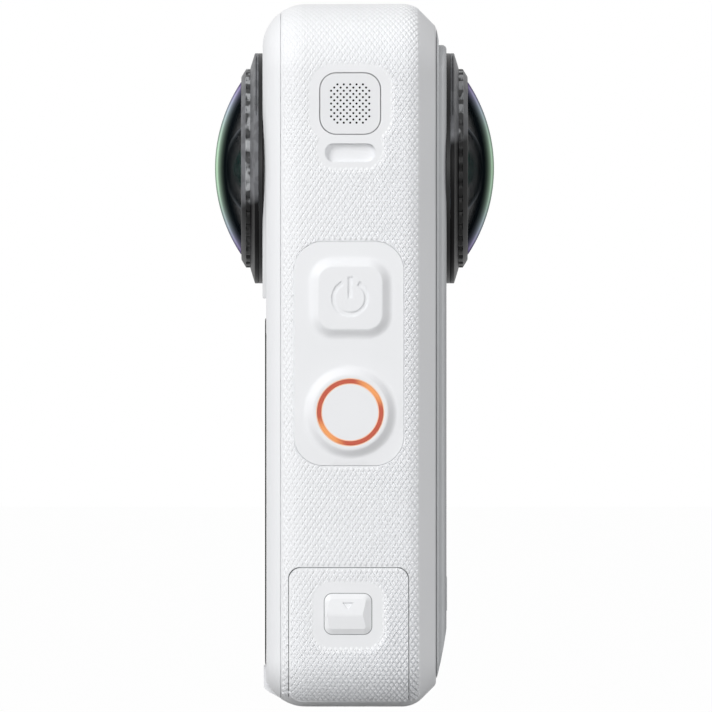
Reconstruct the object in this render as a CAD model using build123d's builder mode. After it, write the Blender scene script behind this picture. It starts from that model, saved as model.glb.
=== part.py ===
from build123d import *
import os
from math import cos, radians, sin

os.makedirs("parts", exist_ok=True)

# A slim 360 degree camera with a fisheye lens on each broad face, in millimetres.
# +X points out of the front lens and -X out of the rear lens, on the side of the touchscreen.
# -Y is the narrow side with the buttons and the battery, +Y the narrow side with the port door.
# +Z is up, and the origin is the mouth of the tripod thread in the middle of the base.

# Body
body_height = 113.8
body_width = 46.0
half_width = body_width / 2
rear_face_x = -14.9
rear_seam_x = -11.9
frame_front_x = 13.2
front_face_x = 14.9
wall = 2.4
top_corner_r = 11.0
base_corner_r = 7.5
rear_edge_r = 7.0
front_chamfer = 3.6
front_shoulder_r = 4.5
front_lip_r = 1.2
front_opening_inset = 5.2
seam_gap = 0.1
overrun = 5.0

# Faces of the narrow side walls, inside and out
side_y = -half_width
side_inner_y = side_y + wall
port_side_y = half_width
port_inner_y = port_side_y - wall

# Front cover: a thin edge step, then the raised panel
cover_step_inset = 4.0
cover_step_x = 13.65
cover_panel_inset = 4.6
cover_panel_top_inset = 6.6
cover_panel_edge_r = 0.7
cover_top_slope = 2.4
cover_chin_low_z = 4.6
cover_chin_mid_z = 9.0
cover_chin_high_z = 12.8
cover_chin_low_x = 13.3
cover_chin_mid_x = 14.3
cover_spigot_depth = 1.6
cover_spigot_wall = 1.2

# Rear cover: a land for the screen and a chin under it
land_x = -14.3
land_low_z = 6.5
land_margin = 3.2
cover_cavity_inset = 4.0
cover_cavity_x = -13.0
chin_x = -14.7
chin_low_z = 1.4
chin_edge_z = 2.5
chin_edge_r = 0.6
chin_side_margin = 8.0
chin_half_width = half_width - chin_side_margin

# Touchscreen
glass_side_margin = 4.2
glass_half_width = half_width - glass_side_margin
glass_low_z = 6.7
glass_lens_gap = 5.6
glass_corner_r = 3.0
glass_front_x = -14.5
glass_thickness = 0.8
glass_edge_r = 0.3
glass_gap = 0.1
display_margin = 2.4
display_low_margin = 3.6
display_thickness = 1.3
display_gap = 0.2

# Status window in the front cover
status_low_z = 15.4
status_high_z = 21.0
status_half_width = 2.8
status_corner_r = 0.8
status_depth = 0.6
status_proud = 0.13
status_gap = 0.05

# Lens assemblies, both alike; distances along X are from the middle of the body
lens_drop = 26.5
lens_z = body_height - lens_drop
chassis_half = 0.6
sensor_board_half = 12.5
sensor_board_thickness = 1.0
sensor_half = 6.0
sensor_height = 0.7
holder_height = 2.0
holder_slack = 0.3
barrel_tube_r = 9.5
barrel_bore_r = 7.0
barrel_cup_base = 9.0
barrel_cup_wall = 1.1
lens_rim_gap = 0.2
barrel_cup_edge = 12.6
barrel_seat = 11.35
barrel_stop_r = 6.2
barrel_stop = 2.9
inner_lens_gap = 0.06
inner_lens_thickness = 2.0
inner_lens_spacing = 2.9
inner_lens_count = 2
inner_lens_r = 16.0
front_lens_apex = 18.5
front_lens_radius = 14.5
front_lens_back_r = 12.7
front_lens_back_rim = 8.5
lens_side_margin = 6.25
lens_opening_r = half_width - lens_side_margin
mount_overlap = 1.95
mount_r = lens_opening_r + mount_overlap
mount_gap = 0.1
mount_tube_r = lens_opening_r - mount_gap
mount_tube_wall = 1.1
mount_bore_r = mount_tube_r - mount_tube_wall
mount_tube_base = 11.5
mount_thickness = 0.6
mount_lip_depth = 0.5
mount_lip_r = mount_bore_r - mount_lip_depth
barrel_cup_gap = 1.25
barrel_cup_r = mount_lip_r - barrel_cup_gap
front_lens_rim = barrel_cup_r - barrel_cup_wall - lens_rim_gap
mount_lip_base = 13.9
mount_lip_thickness = 0.8
tab_count = 6
lip_width = 5.4
lug_width = 4.6
guard_gap = 0.12
guard_flange_thickness = 0.56
guard_skirt_gap = 0.15
guard_skirt_r = mount_lip_r - guard_skirt_gap
guard_skirt_wall = 0.7
guard_skirt_base = 13.0
guard_lug_gap = 0.2
guard_lug_r = mount_bore_r - guard_lug_gap
guard_lug_thickness = 0.7
guard_neck_inset = 2.3
guard_neck_r = mount_r - guard_neck_inset
guard_neck = 16.9
grip_step = 0.25
grip_r = guard_neck_r - grip_step
grip_end = 17.6
grip_notches = 40
grip_notch_width = 0.4
grip_notch_depth = 0.5
guard_slope = 1.3
guard_rim_r = grip_r - guard_slope
guard_rim = 18.37
guard_rim_width = 1.55
guard_bore_r = guard_rim_r - guard_rim_width
dome_apex = 22.67
dome_radius = 25.3
dome_glass = 1.0
dome_seat_width = 0.7
dome_rim_r = guard_bore_r + dome_seat_width
dome_gap = 0.04
dome_shelf = 17.2
seal_inset = 1.4
seal_mean_r = mount_r - seal_inset
seal_width = 0.8
seal_height = 0.36
seal_gap = 0.02
lens_screw_offset = 10.9

# Screws, bores and inserts inside
screw_head_r = 1.2
screw_head_height = 0.8
screw_shank_r = 0.6
screw_hole_r = 0.64
lens_screw_tip = 0.1
chassis_screw_reach = 4.0
lug_half = 2.0
lug_depth = 4.4
chassis_bay_gap = 0.5
chassis_top_gap = 0.3
chassis_side_gap = 0.2
lug_rise = 3.0
lug_pad_gap = 4.1
top_lug_y = 7.0
top_lug_height = 5.0

# Tripod thread in the base
tripod_thread_r = 3.175
tripod_thread_depth = 5.6
insert_r = 4.6
insert_height = 6.0
insert_gap = 0.05
boss_r = 6.6
boss_top_z = 6.3

# Microphone cap and the pill-shaped recess below it
feature_x = -0.7
mic_drop = 16.15
mic_centre_z = body_height - mic_drop
mic_width = 9.7
mic_height = 9.8
mic_corner_r = 2.6
mic_gap = 0.15
mic_thickness = 1.0
mic_hole_r = 0.175
mic_column_pitch = 1.03
mic_row_pitch = 0.517
mic_rows = 13
mic_long_row_count = 7
mic_edge_row_count = 5
mic_mesh_thickness = 0.2
mic_mesh_margin = 0.9
mic_port_half = 1.8
mic_board_half = 3.6
mic_board_thickness = 0.6
mic_can_half = 1.4
mic_can_height = 0.8
pill_drop = 7.95
pill_centre_z = mic_centre_z - pill_drop
pill_width = 8.2
pill_height = 3.0
pill_depth = 1.0
pill_floor_r = 0.3

# Silicone button pad
pad_x = -0.9
pad_rise = 1.85
pad_width = 17.9
pad_height = 36.4
pad_corner_r = 4.8
pad_thickness = 1.5
pad_gap = 0.1
pad_floor_y = side_y + pad_thickness
button_gap = 0.2
button_travel = 0.4
button_lift = 0.45
button_back_y = pad_floor_y - button_lift
stem_r = 1.2
stem_length = 0.6
dome_switch_r = 1.6
dome_switch_height = 0.3
switch_hole_r = 2.2
button_board_thickness = 0.8
button_board_half_width = 6.0
button_board_margin = 4.5

# Power button: soft square with a debossed power mark
power_rise = 9.0
power_base_width = 13.9
power_base_height = 13.7
power_base_corner_r = 4.0
power_top_width = 10.2
power_top_height = 10.0
power_top_corner_r = 2.4
power_height = 1.1
power_top_r = 0.35
mark_outer_r = 3.1
mark_inner_r = 2.25
mark_gap_width = 2.4
mark_bar_width = 0.87
mark_bar_low = 0.0
mark_bar_high = 3.45
mark_depth = 0.15

# Record button: round cap with a coloured ring let into its top
record_drop = 9.5
record_base_r = 7.7
record_top_r = 6.2
record_height = 1.0
record_top_edge_r = 0.35
ring_outer_r = 5.35
ring_inner_r = 4.7
ring_depth = 0.4
ring_gap = 0.03
ring_proud = 0.02

# Battery with its own outer cap, and the latch in the cap
cap_low_x = -10.6
cap_high_x = 8.7
cap_top_z = 22.5
cap_corner_r = 1.9
cap_thickness = 1.6
cap_gap = 0.12
cap_lip_angle = 60.0
liner_margin = 0.8
liner_low_z = 8.0
liner_depth = 0.6
liner_leg = 1.0
latch_room = 1.8
gasket_height = 0.6
gasket_width = 0.8
bay_wall = 0.8
bay_seal_gap = 0.15
bay_end_gap = 2.6
bay_end_y = port_inner_y - bay_end_gap
bay_top_rise = 1.0
bay_top_z = cap_top_z + bay_top_rise
bay_edge = 1.3
cell_gap = 0.3
cell_side_margin = 1.5
cell_corner_r = 1.5
contact_half_width = 3.0
contact_height = 5.0
contact_thickness = 0.4
latch_x = -1.05
latch_z = 15.05
latch_width = 7.8
latch_height = 6.7
latch_corner_r = 1.3
latch_lift = 0.08
latch_proud = 0.7
latch_edge = 0.3
latch_ridge_drop = 0.3
latch_travel = 1.6
latch_stem_width = 4.6
latch_stem_height = 2.8
latch_stem_gap = 0.15
latch_plate_width = 7.0
latch_plate_thickness = 0.55
latch_plate_gap = 0.1
latch_plate_low_z = 13.2
latch_plate_drop = 0.5
latch_plate_high_z = cap_top_z - latch_plate_drop
triangle_width = 1.93
triangle_height = 1.27
triangle_rise = 1.15
triangle_z = latch_z + triangle_rise
triangle_depth = 0.12
spring_mean_r = 0.55
spring_wire_r = 0.1
spring_turns = 6
spring_length = 3.4
spring_x = 4.2
spring_seat_height = 0.8
spring_seat_half_width = 1.0
spring_gap = 0.1
spring_arm_height = 1.2

# Port door, its hinge and the parts behind it
port_low_z = 32.5
port_high_z = 48.5
port_low_x = -4.6
port_high_x = 7.4
port_thickness = 1.6
port_gap = 0.1
port_knuckle_r = port_thickness / 2
port_pin_r = 0.35
port_pin_gap = 0.05
port_pin_hold = 2.5
port_pin_fit = 0.02
port_gasket_inset = 1.9
port_gasket_width = 0.8
port_gasket_height = 0.5
bezel_margin = 1.2
bezel_thickness = 0.8

# Boards and what they carry
board_standoff = 1.2
board_thickness = 1.0
board_bay_gap = 2.5
board_lens_gap = 8.8
board_side_gap = 4.6
board_port_gap = 2.6
board_low_z = bay_top_z + board_bay_gap
board_high_z = lens_z - sensor_board_half - board_lens_gap
board_low_y = side_inner_y + board_side_gap
board_high_y = port_inner_y - board_port_gap
standoff_r = 1.7
standoff_inset = 2.6
shield_side_inset = 5.0
shield_port_inset = 10.0
shield_low_inset = 5.0
shield_high_inset = 9.0
shield_low_y = board_low_y + shield_side_inset
shield_high_y = board_high_y - shield_port_inset
shield_low_z = board_low_z + shield_low_inset
shield_high_z = board_high_z - shield_high_inset
shield_height = 2.4
shield_wall = 0.4
spreader_overhang = 2.5
spreader_thickness = 1.0
usb_width = 8.94
usb_height = 3.26
usb_depth = 7.4
usb_wall = 0.35
usb_tongue = 0.7
usb_tongue_width = 6.6
usb_back_wall = 1.0
usb_centre_z = (port_low_z + port_high_z) / 2
socket_gap = 0.15
card_width = 11.0
card_length = 14.0
card_thickness = 0.7
card_slot_wall = 0.4
card_gap = 0.15
speaker_door_gap = 4.0
speaker_low_z = port_high_z + speaker_door_gap
speaker_height = 13.0
speaker_depth = 6.5
speaker_thickness = 6.0
speaker_hole_r = 0.45
speaker_hole_pitch = 1.8
speaker_columns = 2
speaker_rows = 5

# Places worked out from the sizes above
lens_axis = Axis((0, 0, lens_z), (1, 0, 0))
deck_x = frame_front_x - front_chamfer - seam_gap
inner_top_z = body_height - wall
glass_high_z = lens_z - mount_r - glass_lens_gap
land_high_z = glass_high_z + land_margin
pad_centre_z = (cap_top_z + pill_centre_z - pill_height / 2) / 2 + pad_rise
power_z = pad_centre_z + power_rise
record_z = pad_centre_z - record_drop
chassis_low_z = bay_top_z + chassis_bay_gap
lug_low_z = chassis_low_z + lug_rise
lug_high_z = pad_centre_z + pad_height / 2 + lug_pad_gap
lug_places = ((-1, lug_low_z), (1, lug_low_z), (-1, lug_high_z), (1, lug_high_z))
corner_y = side_y + base_corner_r
corner_z = base_corner_r
cap_inner_y = side_y + cap_thickness
liner_y = cap_inner_y + latch_room
gasket_y = liner_y + liner_depth
cell_length = bay_end_y - bay_wall - contact_thickness - gasket_y
seal_y = gasket_y + gasket_height + bay_seal_gap
cap_middle_x = (cap_low_x + cap_high_x) / 2
spring_y = cap_inner_y + latch_room / 2
board_x = chassis_half + board_standoff
board_front_x = board_x + board_thickness
sensor_front = chassis_half + sensor_board_thickness
holder_front = sensor_front + holder_height
mount_front = front_face_x + mount_thickness
guard_base = mount_front + guard_gap
dome_centre = dome_apex - dome_radius
lens_sides = (("front", 1), ("rear", -1))


def outline(x, side_inset, top_inset, base_inset):
    """The body's outline in the plane at x, drawn in at its sides, top and base."""
    top_z = body_height - top_inset
    with BuildSketch(Plane.YZ.offset(x)) as face:
        with Locations((0, (top_z + base_inset) / 2)):
            Rectangle(body_width - 2 * side_inset, top_z - base_inset)
        fillet(face.vertices().group_by(Axis.Y)[-1], top_corner_r - top_inset)
        fillet(face.vertices().group_by(Axis.Y)[0], base_corner_r - base_inset)
    return face.sketch


def block(x_span, y_span, z_span, mode=Mode.ADD):
    """A box between two limits along each axis."""
    middle = ((x_span[0] + x_span[1]) / 2, (y_span[0] + y_span[1]) / 2, (z_span[0] + z_span[1]) / 2)
    with Locations(middle):
        box = Box(x_span[1] - x_span[0], y_span[1] - y_span[0], z_span[1] - z_span[0], mode=mode)
    return box


def side_prism(centre, size, corner_r, y_span, mode=Mode.ADD):
    """A rounded rectangle seen from the button side, carried between two limits along Y."""
    with BuildSketch(Plane.XZ.offset(-y_span[0])) as face:
        with Locations(centre):
            RectangleRounded(size[0], size[1], corner_r)
    return extrude(face.sketch, amount=y_span[0] - y_span[1], mode=mode)


def side_rod(centre, radius, y_span, mode=Mode.ADD):
    """A round rod seen from the button side, carried between two limits along Y."""
    with BuildSketch(Plane.XZ.offset(-y_span[0])) as end:
        with Locations(centre):
            Circle(radius)
    return extrude(end.sketch, amount=y_span[0] - y_span[1], mode=mode)


def rod_x(x_span, radius, y, z, mode=Mode.ADD):
    """A round rod along X between two limits."""
    with BuildSketch(Plane.YZ.offset(x_span[0])) as end:
        with Locations((y, z)):
            Circle(radius)
    return extrude(end.sketch, amount=x_span[1] - x_span[0], mode=mode)


def tab_ring(x, inner_r, outer_r, width, count):
    """A ring round the lens axis in the plane at x, kept only where its tabs are."""
    with BuildSketch(Plane.YZ.offset(x)) as face:
        with Locations((0, lens_z)):
            with PolarLocations(outer_r, count):
                Rectangle(2 * outer_r - 2 * inner_r, width)
            Circle(outer_r, mode=Mode.INTERSECT)
            Circle(inner_r, mode=Mode.SUBTRACT)
    return face.sketch


def cap_room(gap, depth_y):
    """The room of the battery's outer cap, grown by a gap, from outside the body to depth_y."""
    lip = radians(cap_lip_angle)
    reach = base_corner_r + overrun
    lip_y = corner_y - reach * cos(lip)
    lip_z = corner_z - reach * sin(lip)
    far_y = corner_y - reach
    with BuildPart() as room:
        with BuildSketch(Plane.YZ.offset(cap_low_x - gap)) as section:
            with BuildLine():
                Polyline(
                    (corner_y, corner_z - gap),
                    (lip_y, lip_z - gap),
                    (far_y, lip_z - gap),
                    (far_y, cap_top_z + gap),
                    (depth_y, cap_top_z + gap),
                    (depth_y, corner_z - gap),
                    close=True,
                )
            make_face()
        extrude(amount=cap_high_x - cap_low_x + 2 * gap)
        with BuildSketch(Plane.XZ.offset(-depth_y - overrun)) as face:
            with Locations((cap_middle_x, cap_top_z + gap)):
                Rectangle(
                    cap_high_x - cap_low_x + 2 * gap,
                    2 * cap_top_z,
                    align=(Align.CENTER, Align.MAX),
                )
            fillet(face.vertices().group_by(Axis.Y)[-1], cap_corner_r)
        extrude(amount=half_width + reach, mode=Mode.INTERSECT)
    return room.part


# Outer form of the body, which the covers, the frame and the battery's cap are all cut from
with BuildPart() as body_form:
    extrude(outline(rear_face_x, 0, 0, 0), amount=frame_front_x - rear_face_x)
    fillet(body_form.faces().sort_by(Axis.X)[0].edges(), rear_edge_r)
    chamfer(body_form.faces().sort_by(Axis.X)[-1].edges(), front_chamfer)
    shoulder_x = frame_front_x - front_chamfer
    shoulder_span = (shoulder_x - seam_gap, shoulder_x + seam_gap)
    fillet(body_form.edges().filter_by_position(Axis.X, *shoulder_span), front_shoulder_r)
    fillet(body_form.faces().sort_by(Axis.X)[-1].edges(), front_lip_r)

cap_opening = cap_room(cap_gap, side_inner_y + seam_gap)
cap_blank = cap_room(0, cap_inner_y)

# Centre frame: the textured band round the body that carries everything
with BuildPart() as centre_frame:
    add(body_form.part)
    split(bisect_by=Plane.YZ.offset(rear_seam_x), keep=Keep.TOP)
    extrude(outline(rear_seam_x, wall, wall, wall), amount=deck_x - rear_seam_x, mode=Mode.SUBTRACT)
    extrude(
        outline(deck_x, front_opening_inset, front_opening_inset, front_opening_inset),
        amount=front_chamfer + overrun,
        mode=Mode.SUBTRACT,
    )
    # Lugs for the chassis on the side walls and under the top
    for side, lug_z in lug_places:
        lug_outer = side * port_inner_y
        lug_inner = lug_outer - side * lug_depth
        block(
            (-chassis_half - chassis_screw_reach, -chassis_half),
            sorted((lug_outer, lug_inner)),
            (lug_z - lug_half, lug_z + lug_half),
        )
    for side in (-1, 1):
        block(
            (-chassis_half - chassis_screw_reach, -chassis_half),
            (side * top_lug_y - lug_half, side * top_lug_y + lug_half),
            (inner_top_z - top_lug_height, inner_top_z),
        )
    chassis_screw_places = [(side * (port_inner_y - lug_depth / 2), lug_z) for side, lug_z in lug_places]
    chassis_screw_places += [(side * top_lug_y, inner_top_z - top_lug_height / 2) for side in (-1, 1)]
    for screw_y, screw_z in chassis_screw_places:
        rod_x((-chassis_half - chassis_screw_reach, 0), screw_hole_r, screw_y, screw_z, Mode.SUBTRACT)
    # Boss for the tripod insert
    with BuildSketch(Plane.XY.offset(wall / 2)):
        Circle(boss_r)
    extrude(amount=boss_top_z - wall / 2)
    with BuildSketch(Plane.XY):
        Circle(insert_r + insert_gap)
    extrude(amount=insert_height, mode=Mode.SUBTRACT)
    # Seats and openings in the button side
    side_prism((pad_x, pad_centre_z), (pad_width, pad_height), pad_corner_r,
               (side_y - overrun, pad_floor_y), Mode.SUBTRACT)
    for button_z in (power_z, record_z):
        side_rod((feature_x, button_z), switch_hole_r,
                 (pad_floor_y - seam_gap, side_inner_y + seam_gap), Mode.SUBTRACT)
    mic_seat_y = side_y + mic_thickness + mic_mesh_thickness
    side_prism((feature_x, mic_centre_z), (mic_width + 2 * mic_gap, mic_height + 2 * mic_gap),
               mic_corner_r + mic_gap, (side_y - overrun, mic_seat_y), Mode.SUBTRACT)
    block((feature_x - mic_port_half, feature_x + mic_port_half), (side_y, side_inner_y + seam_gap),
          (mic_centre_z - mic_port_half, mic_centre_z + mic_port_half), Mode.SUBTRACT)
    side_prism((feature_x, pill_centre_z), (pill_width, pill_height), pill_height / 2 - pill_floor_r / 2,
               (side_y - overrun, side_y + pill_depth), Mode.SUBTRACT)
    add(cap_opening, mode=Mode.SUBTRACT)
    # Opening of the port door, the holes of its pin and the holes of the speaker
    block((port_low_x - port_gap, port_high_x + port_gap), (port_inner_y - seam_gap, port_side_y + overrun),
          (port_low_z - port_gap, port_high_z + port_gap), Mode.SUBTRACT)
    with BuildSketch(Plane.XY.offset(port_low_z - port_pin_hold)):
        with Locations((port_low_x + port_knuckle_r, port_side_y - port_knuckle_r)):
            Circle(port_pin_r + port_pin_fit)
    extrude(amount=port_high_z - port_low_z + 2 * port_pin_hold, mode=Mode.SUBTRACT)
    speaker_z = speaker_low_z + speaker_height / 2
    speaker_x = -chassis_half - speaker_thickness / 2
    with BuildSketch(Plane.XZ.offset(-port_side_y - overrun)):
        with Locations((speaker_x, speaker_z)):
            with GridLocations(speaker_hole_pitch, speaker_hole_pitch, speaker_columns, speaker_rows):
                Circle(speaker_hole_r)
    extrude(amount=wall + 2 * overrun, mode=Mode.SUBTRACT)
centre_frame.part.label = "centre_frame"
export_step(centre_frame.part, "parts/centre_frame.step")

# Rear cover: the rounded back with the screen's land, the chin and the lens opening
with BuildPart() as rear_cover:
    add(body_form.part)
    split(bisect_by=Plane.YZ.offset(rear_seam_x - seam_gap), keep=Keep.BOTTOM)
    block((rear_face_x - overrun, land_x), (-body_width, body_width), (-overrun, land_high_z), Mode.SUBTRACT)
    with BuildSketch(Plane.XZ.offset(-chin_half_width)) as chin:
        with BuildLine():
            Polyline(
                (rear_seam_x - seam_gap, chin_low_z),
                (chin_x + chin_edge_r, chin_edge_z),
                (chin_x, chin_edge_z + chin_edge_r),
                (chin_x, land_low_z),
                (rear_seam_x - seam_gap, land_low_z),
                close=True,
            )
        make_face()
    extrude(amount=2 * chin_half_width)
    extrude(
        outline(cover_cavity_x, cover_cavity_inset, cover_cavity_inset, cover_cavity_inset),
        amount=overrun,
        mode=Mode.SUBTRACT,
    )
    glass_middle_z = (glass_low_z + glass_high_z) / 2
    with BuildSketch(Plane.YZ.offset(rear_face_x - overrun)):
        with Locations((0, glass_middle_z)):
            RectangleRounded(2 * glass_half_width + 2 * glass_gap, glass_high_z - glass_low_z + 2 * glass_gap,
                             glass_corner_r + glass_gap)
    extrude(amount=glass_front_x + glass_thickness - rear_face_x + overrun, mode=Mode.SUBTRACT)
    block((rear_face_x, rear_seam_x),
          (-glass_half_width + display_margin, glass_half_width - display_margin),
          (glass_low_z + display_low_margin, glass_high_z - display_low_margin), Mode.SUBTRACT)
    rod_x((rear_face_x - overrun, rear_seam_x), lens_opening_r, 0, lens_z, Mode.SUBTRACT)
rear_cover.part.label = "rear_cover"
export_step(rear_cover.part, "parts/rear_cover.step")

# Front cover: an edge step, the raised panel and a spigot that locates it in the frame
with BuildPart() as front_cover:
    step_base_x = frame_front_x + seam_gap
    extrude(outline(step_base_x, cover_step_inset, cover_step_inset, cover_step_inset),
            amount=cover_step_x - step_base_x)
    with BuildSketch(Plane.XZ.offset(-body_width)):
        with BuildLine():
            Polyline(
                (step_base_x, body_height - cover_step_inset),
                (cover_step_x + seam_gap, body_height - cover_step_inset - cover_top_slope),
                (cover_step_x + seam_gap, body_height),
                (step_base_x, body_height),
                close=True,
            )
        make_face()
    extrude(amount=2 * body_width, mode=Mode.SUBTRACT)
    extrude(outline(cover_step_x, cover_panel_inset, cover_panel_top_inset, cover_panel_inset),
            amount=front_face_x - cover_step_x)
    fillet(front_cover.faces().sort_by(Axis.X)[-1].edges(), cover_panel_edge_r)
    with BuildSketch(Plane.XZ.offset(-body_width)):
        with BuildLine():
            ThreePointArc(
                (cover_chin_low_x, cover_chin_low_z),
                (cover_chin_mid_x, cover_chin_mid_z),
                (front_face_x, cover_chin_high_z),
            )
            Polyline(
                (front_face_x, cover_chin_high_z),
                (front_face_x + overrun, cover_chin_high_z),
                (front_face_x + overrun, 0),
                (cover_chin_low_x, 0),
                (cover_chin_low_x, cover_chin_low_z),
            )
        make_face()
    extrude(amount=2 * body_width, mode=Mode.SUBTRACT)
    spigot_inset = front_opening_inset + seam_gap
    extrude(outline(step_base_x, spigot_inset, spigot_inset, spigot_inset), amount=-cover_spigot_depth)
    hollow_inset = spigot_inset + cover_spigot_wall
    hollow_top_inset = hollow_inset + cover_spigot_wall
    extrude(
        outline(step_base_x - cover_spigot_depth, hollow_inset, hollow_top_inset, hollow_inset),
        amount=cover_spigot_depth,
        mode=Mode.SUBTRACT,
    )
    rod_x((step_base_x - overrun, front_face_x + overrun), lens_opening_r, 0, lens_z, Mode.SUBTRACT)
    status_middle_z = (status_low_z + status_high_z) / 2
    status_height = status_high_z - status_low_z
    with BuildSketch(Plane.YZ.offset(front_face_x + status_proud - status_depth)):
        with Locations((0, status_middle_z)):
            RectangleRounded(2 * status_half_width + 2 * status_gap, status_height + 2 * status_gap,
                             status_corner_r + status_gap)
    extrude(amount=overrun, mode=Mode.SUBTRACT)
front_cover.part.label = "front_cover"
export_step(front_cover.part, "parts/front_cover.step")

# Status window: the small lamp lens low on the front cover
with BuildPart() as status_window:
    with BuildSketch(Plane.YZ.offset(front_face_x + status_proud - status_depth)):
        with Locations((0, status_middle_z)):
            RectangleRounded(2 * status_half_width, status_height, status_corner_r)
    extrude(amount=status_depth)
    fillet(status_window.faces().sort_by(Axis.X)[-1].edges(), status_proud / 2)
status_window.part.label = "status_window"
export_step(status_window.part, "parts/status_window.step")

# Touch glass and the display module behind it
with BuildPart() as touch_glass:
    with BuildSketch(Plane.YZ.offset(glass_front_x)):
        with Locations((0, glass_middle_z)):
            RectangleRounded(2 * glass_half_width, glass_high_z - glass_low_z, glass_corner_r)
    extrude(amount=glass_thickness)
    fillet(touch_glass.faces().sort_by(Axis.X)[0].edges(), glass_edge_r)
touch_glass.part.label = "touch_glass"
export_step(touch_glass.part, "parts/touch_glass.step")

with BuildPart() as display_module:
    display_x = glass_front_x + glass_thickness
    display_half_width = glass_half_width - display_margin - display_gap
    block((display_x, display_x + display_thickness), (-display_half_width, display_half_width),
          (glass_low_z + display_low_margin + display_gap, glass_high_z - display_low_margin - display_gap))
display_module.part.label = "display_module"
export_step(display_module.part, "parts/display_module.step")

# Inner chassis: the plate in the middle that carries the boards and both lenses
with BuildPart() as inner_chassis:
    chassis_high_y = port_inner_y - chassis_side_gap
    chassis_low_y = side_inner_y + button_board_thickness + chassis_side_gap
    block((-chassis_half, chassis_half), (chassis_low_y, chassis_high_y),
          (chassis_low_z, inner_top_z - chassis_top_gap))
    fillet(inner_chassis.edges().filter_by(Axis.X).group_by(Axis.Z)[-1], top_corner_r - wall)
    standoff_places = [
        (board_low_y + standoff_inset, board_low_z + standoff_inset),
        (board_low_y + standoff_inset, board_high_z - standoff_inset),
        (board_high_y - standoff_inset, board_low_z + standoff_inset),
        (board_high_y - standoff_inset, board_high_z - standoff_inset),
    ]
    for post_y, post_z in standoff_places:
        rod_x((chassis_half, board_x), standoff_r, post_y, post_z)
        rod_x((-chassis_half, board_x), screw_hole_r, post_y, post_z, Mode.SUBTRACT)
    for screw_y, screw_z in chassis_screw_places:
        rod_x((-chassis_half, chassis_half), screw_hole_r, screw_y, screw_z, Mode.SUBTRACT)
    with BuildSketch(Plane.YZ.offset(-chassis_half)):
        with Locations((0, lens_z)):
            with GridLocations(2 * lens_screw_offset, 2 * lens_screw_offset, 2, 2):
                Circle(screw_hole_r)
    extrude(amount=2 * chassis_half, mode=Mode.SUBTRACT)
inner_chassis.part.label = "inner_chassis"
export_step(inner_chassis.part, "parts/inner_chassis.step")

with BuildPart() as chassis_screws:
    for screw_y, screw_z in chassis_screw_places:
        rod_x((chassis_half, chassis_half + screw_head_height), screw_head_r, screw_y, screw_z)
        rod_x((-chassis_screw_reach, chassis_half), screw_shank_r, screw_y, screw_z)
chassis_screws.part.label = "chassis_screws"
export_step(chassis_screws.part, "parts/chassis_screws.step")

# Tripod insert: the metal thread in the base
with BuildPart() as tripod_insert:
    with BuildSketch(Plane.XY):
        Circle(insert_r)
    extrude(amount=insert_height)
    with BuildSketch(Plane.XY):
        Circle(tripod_thread_r)
    extrude(amount=tripod_thread_depth, mode=Mode.SUBTRACT)
tripod_insert.part.label = "tripod_insert"
export_step(tripod_insert.part, "parts/tripod_insert.step")

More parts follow.
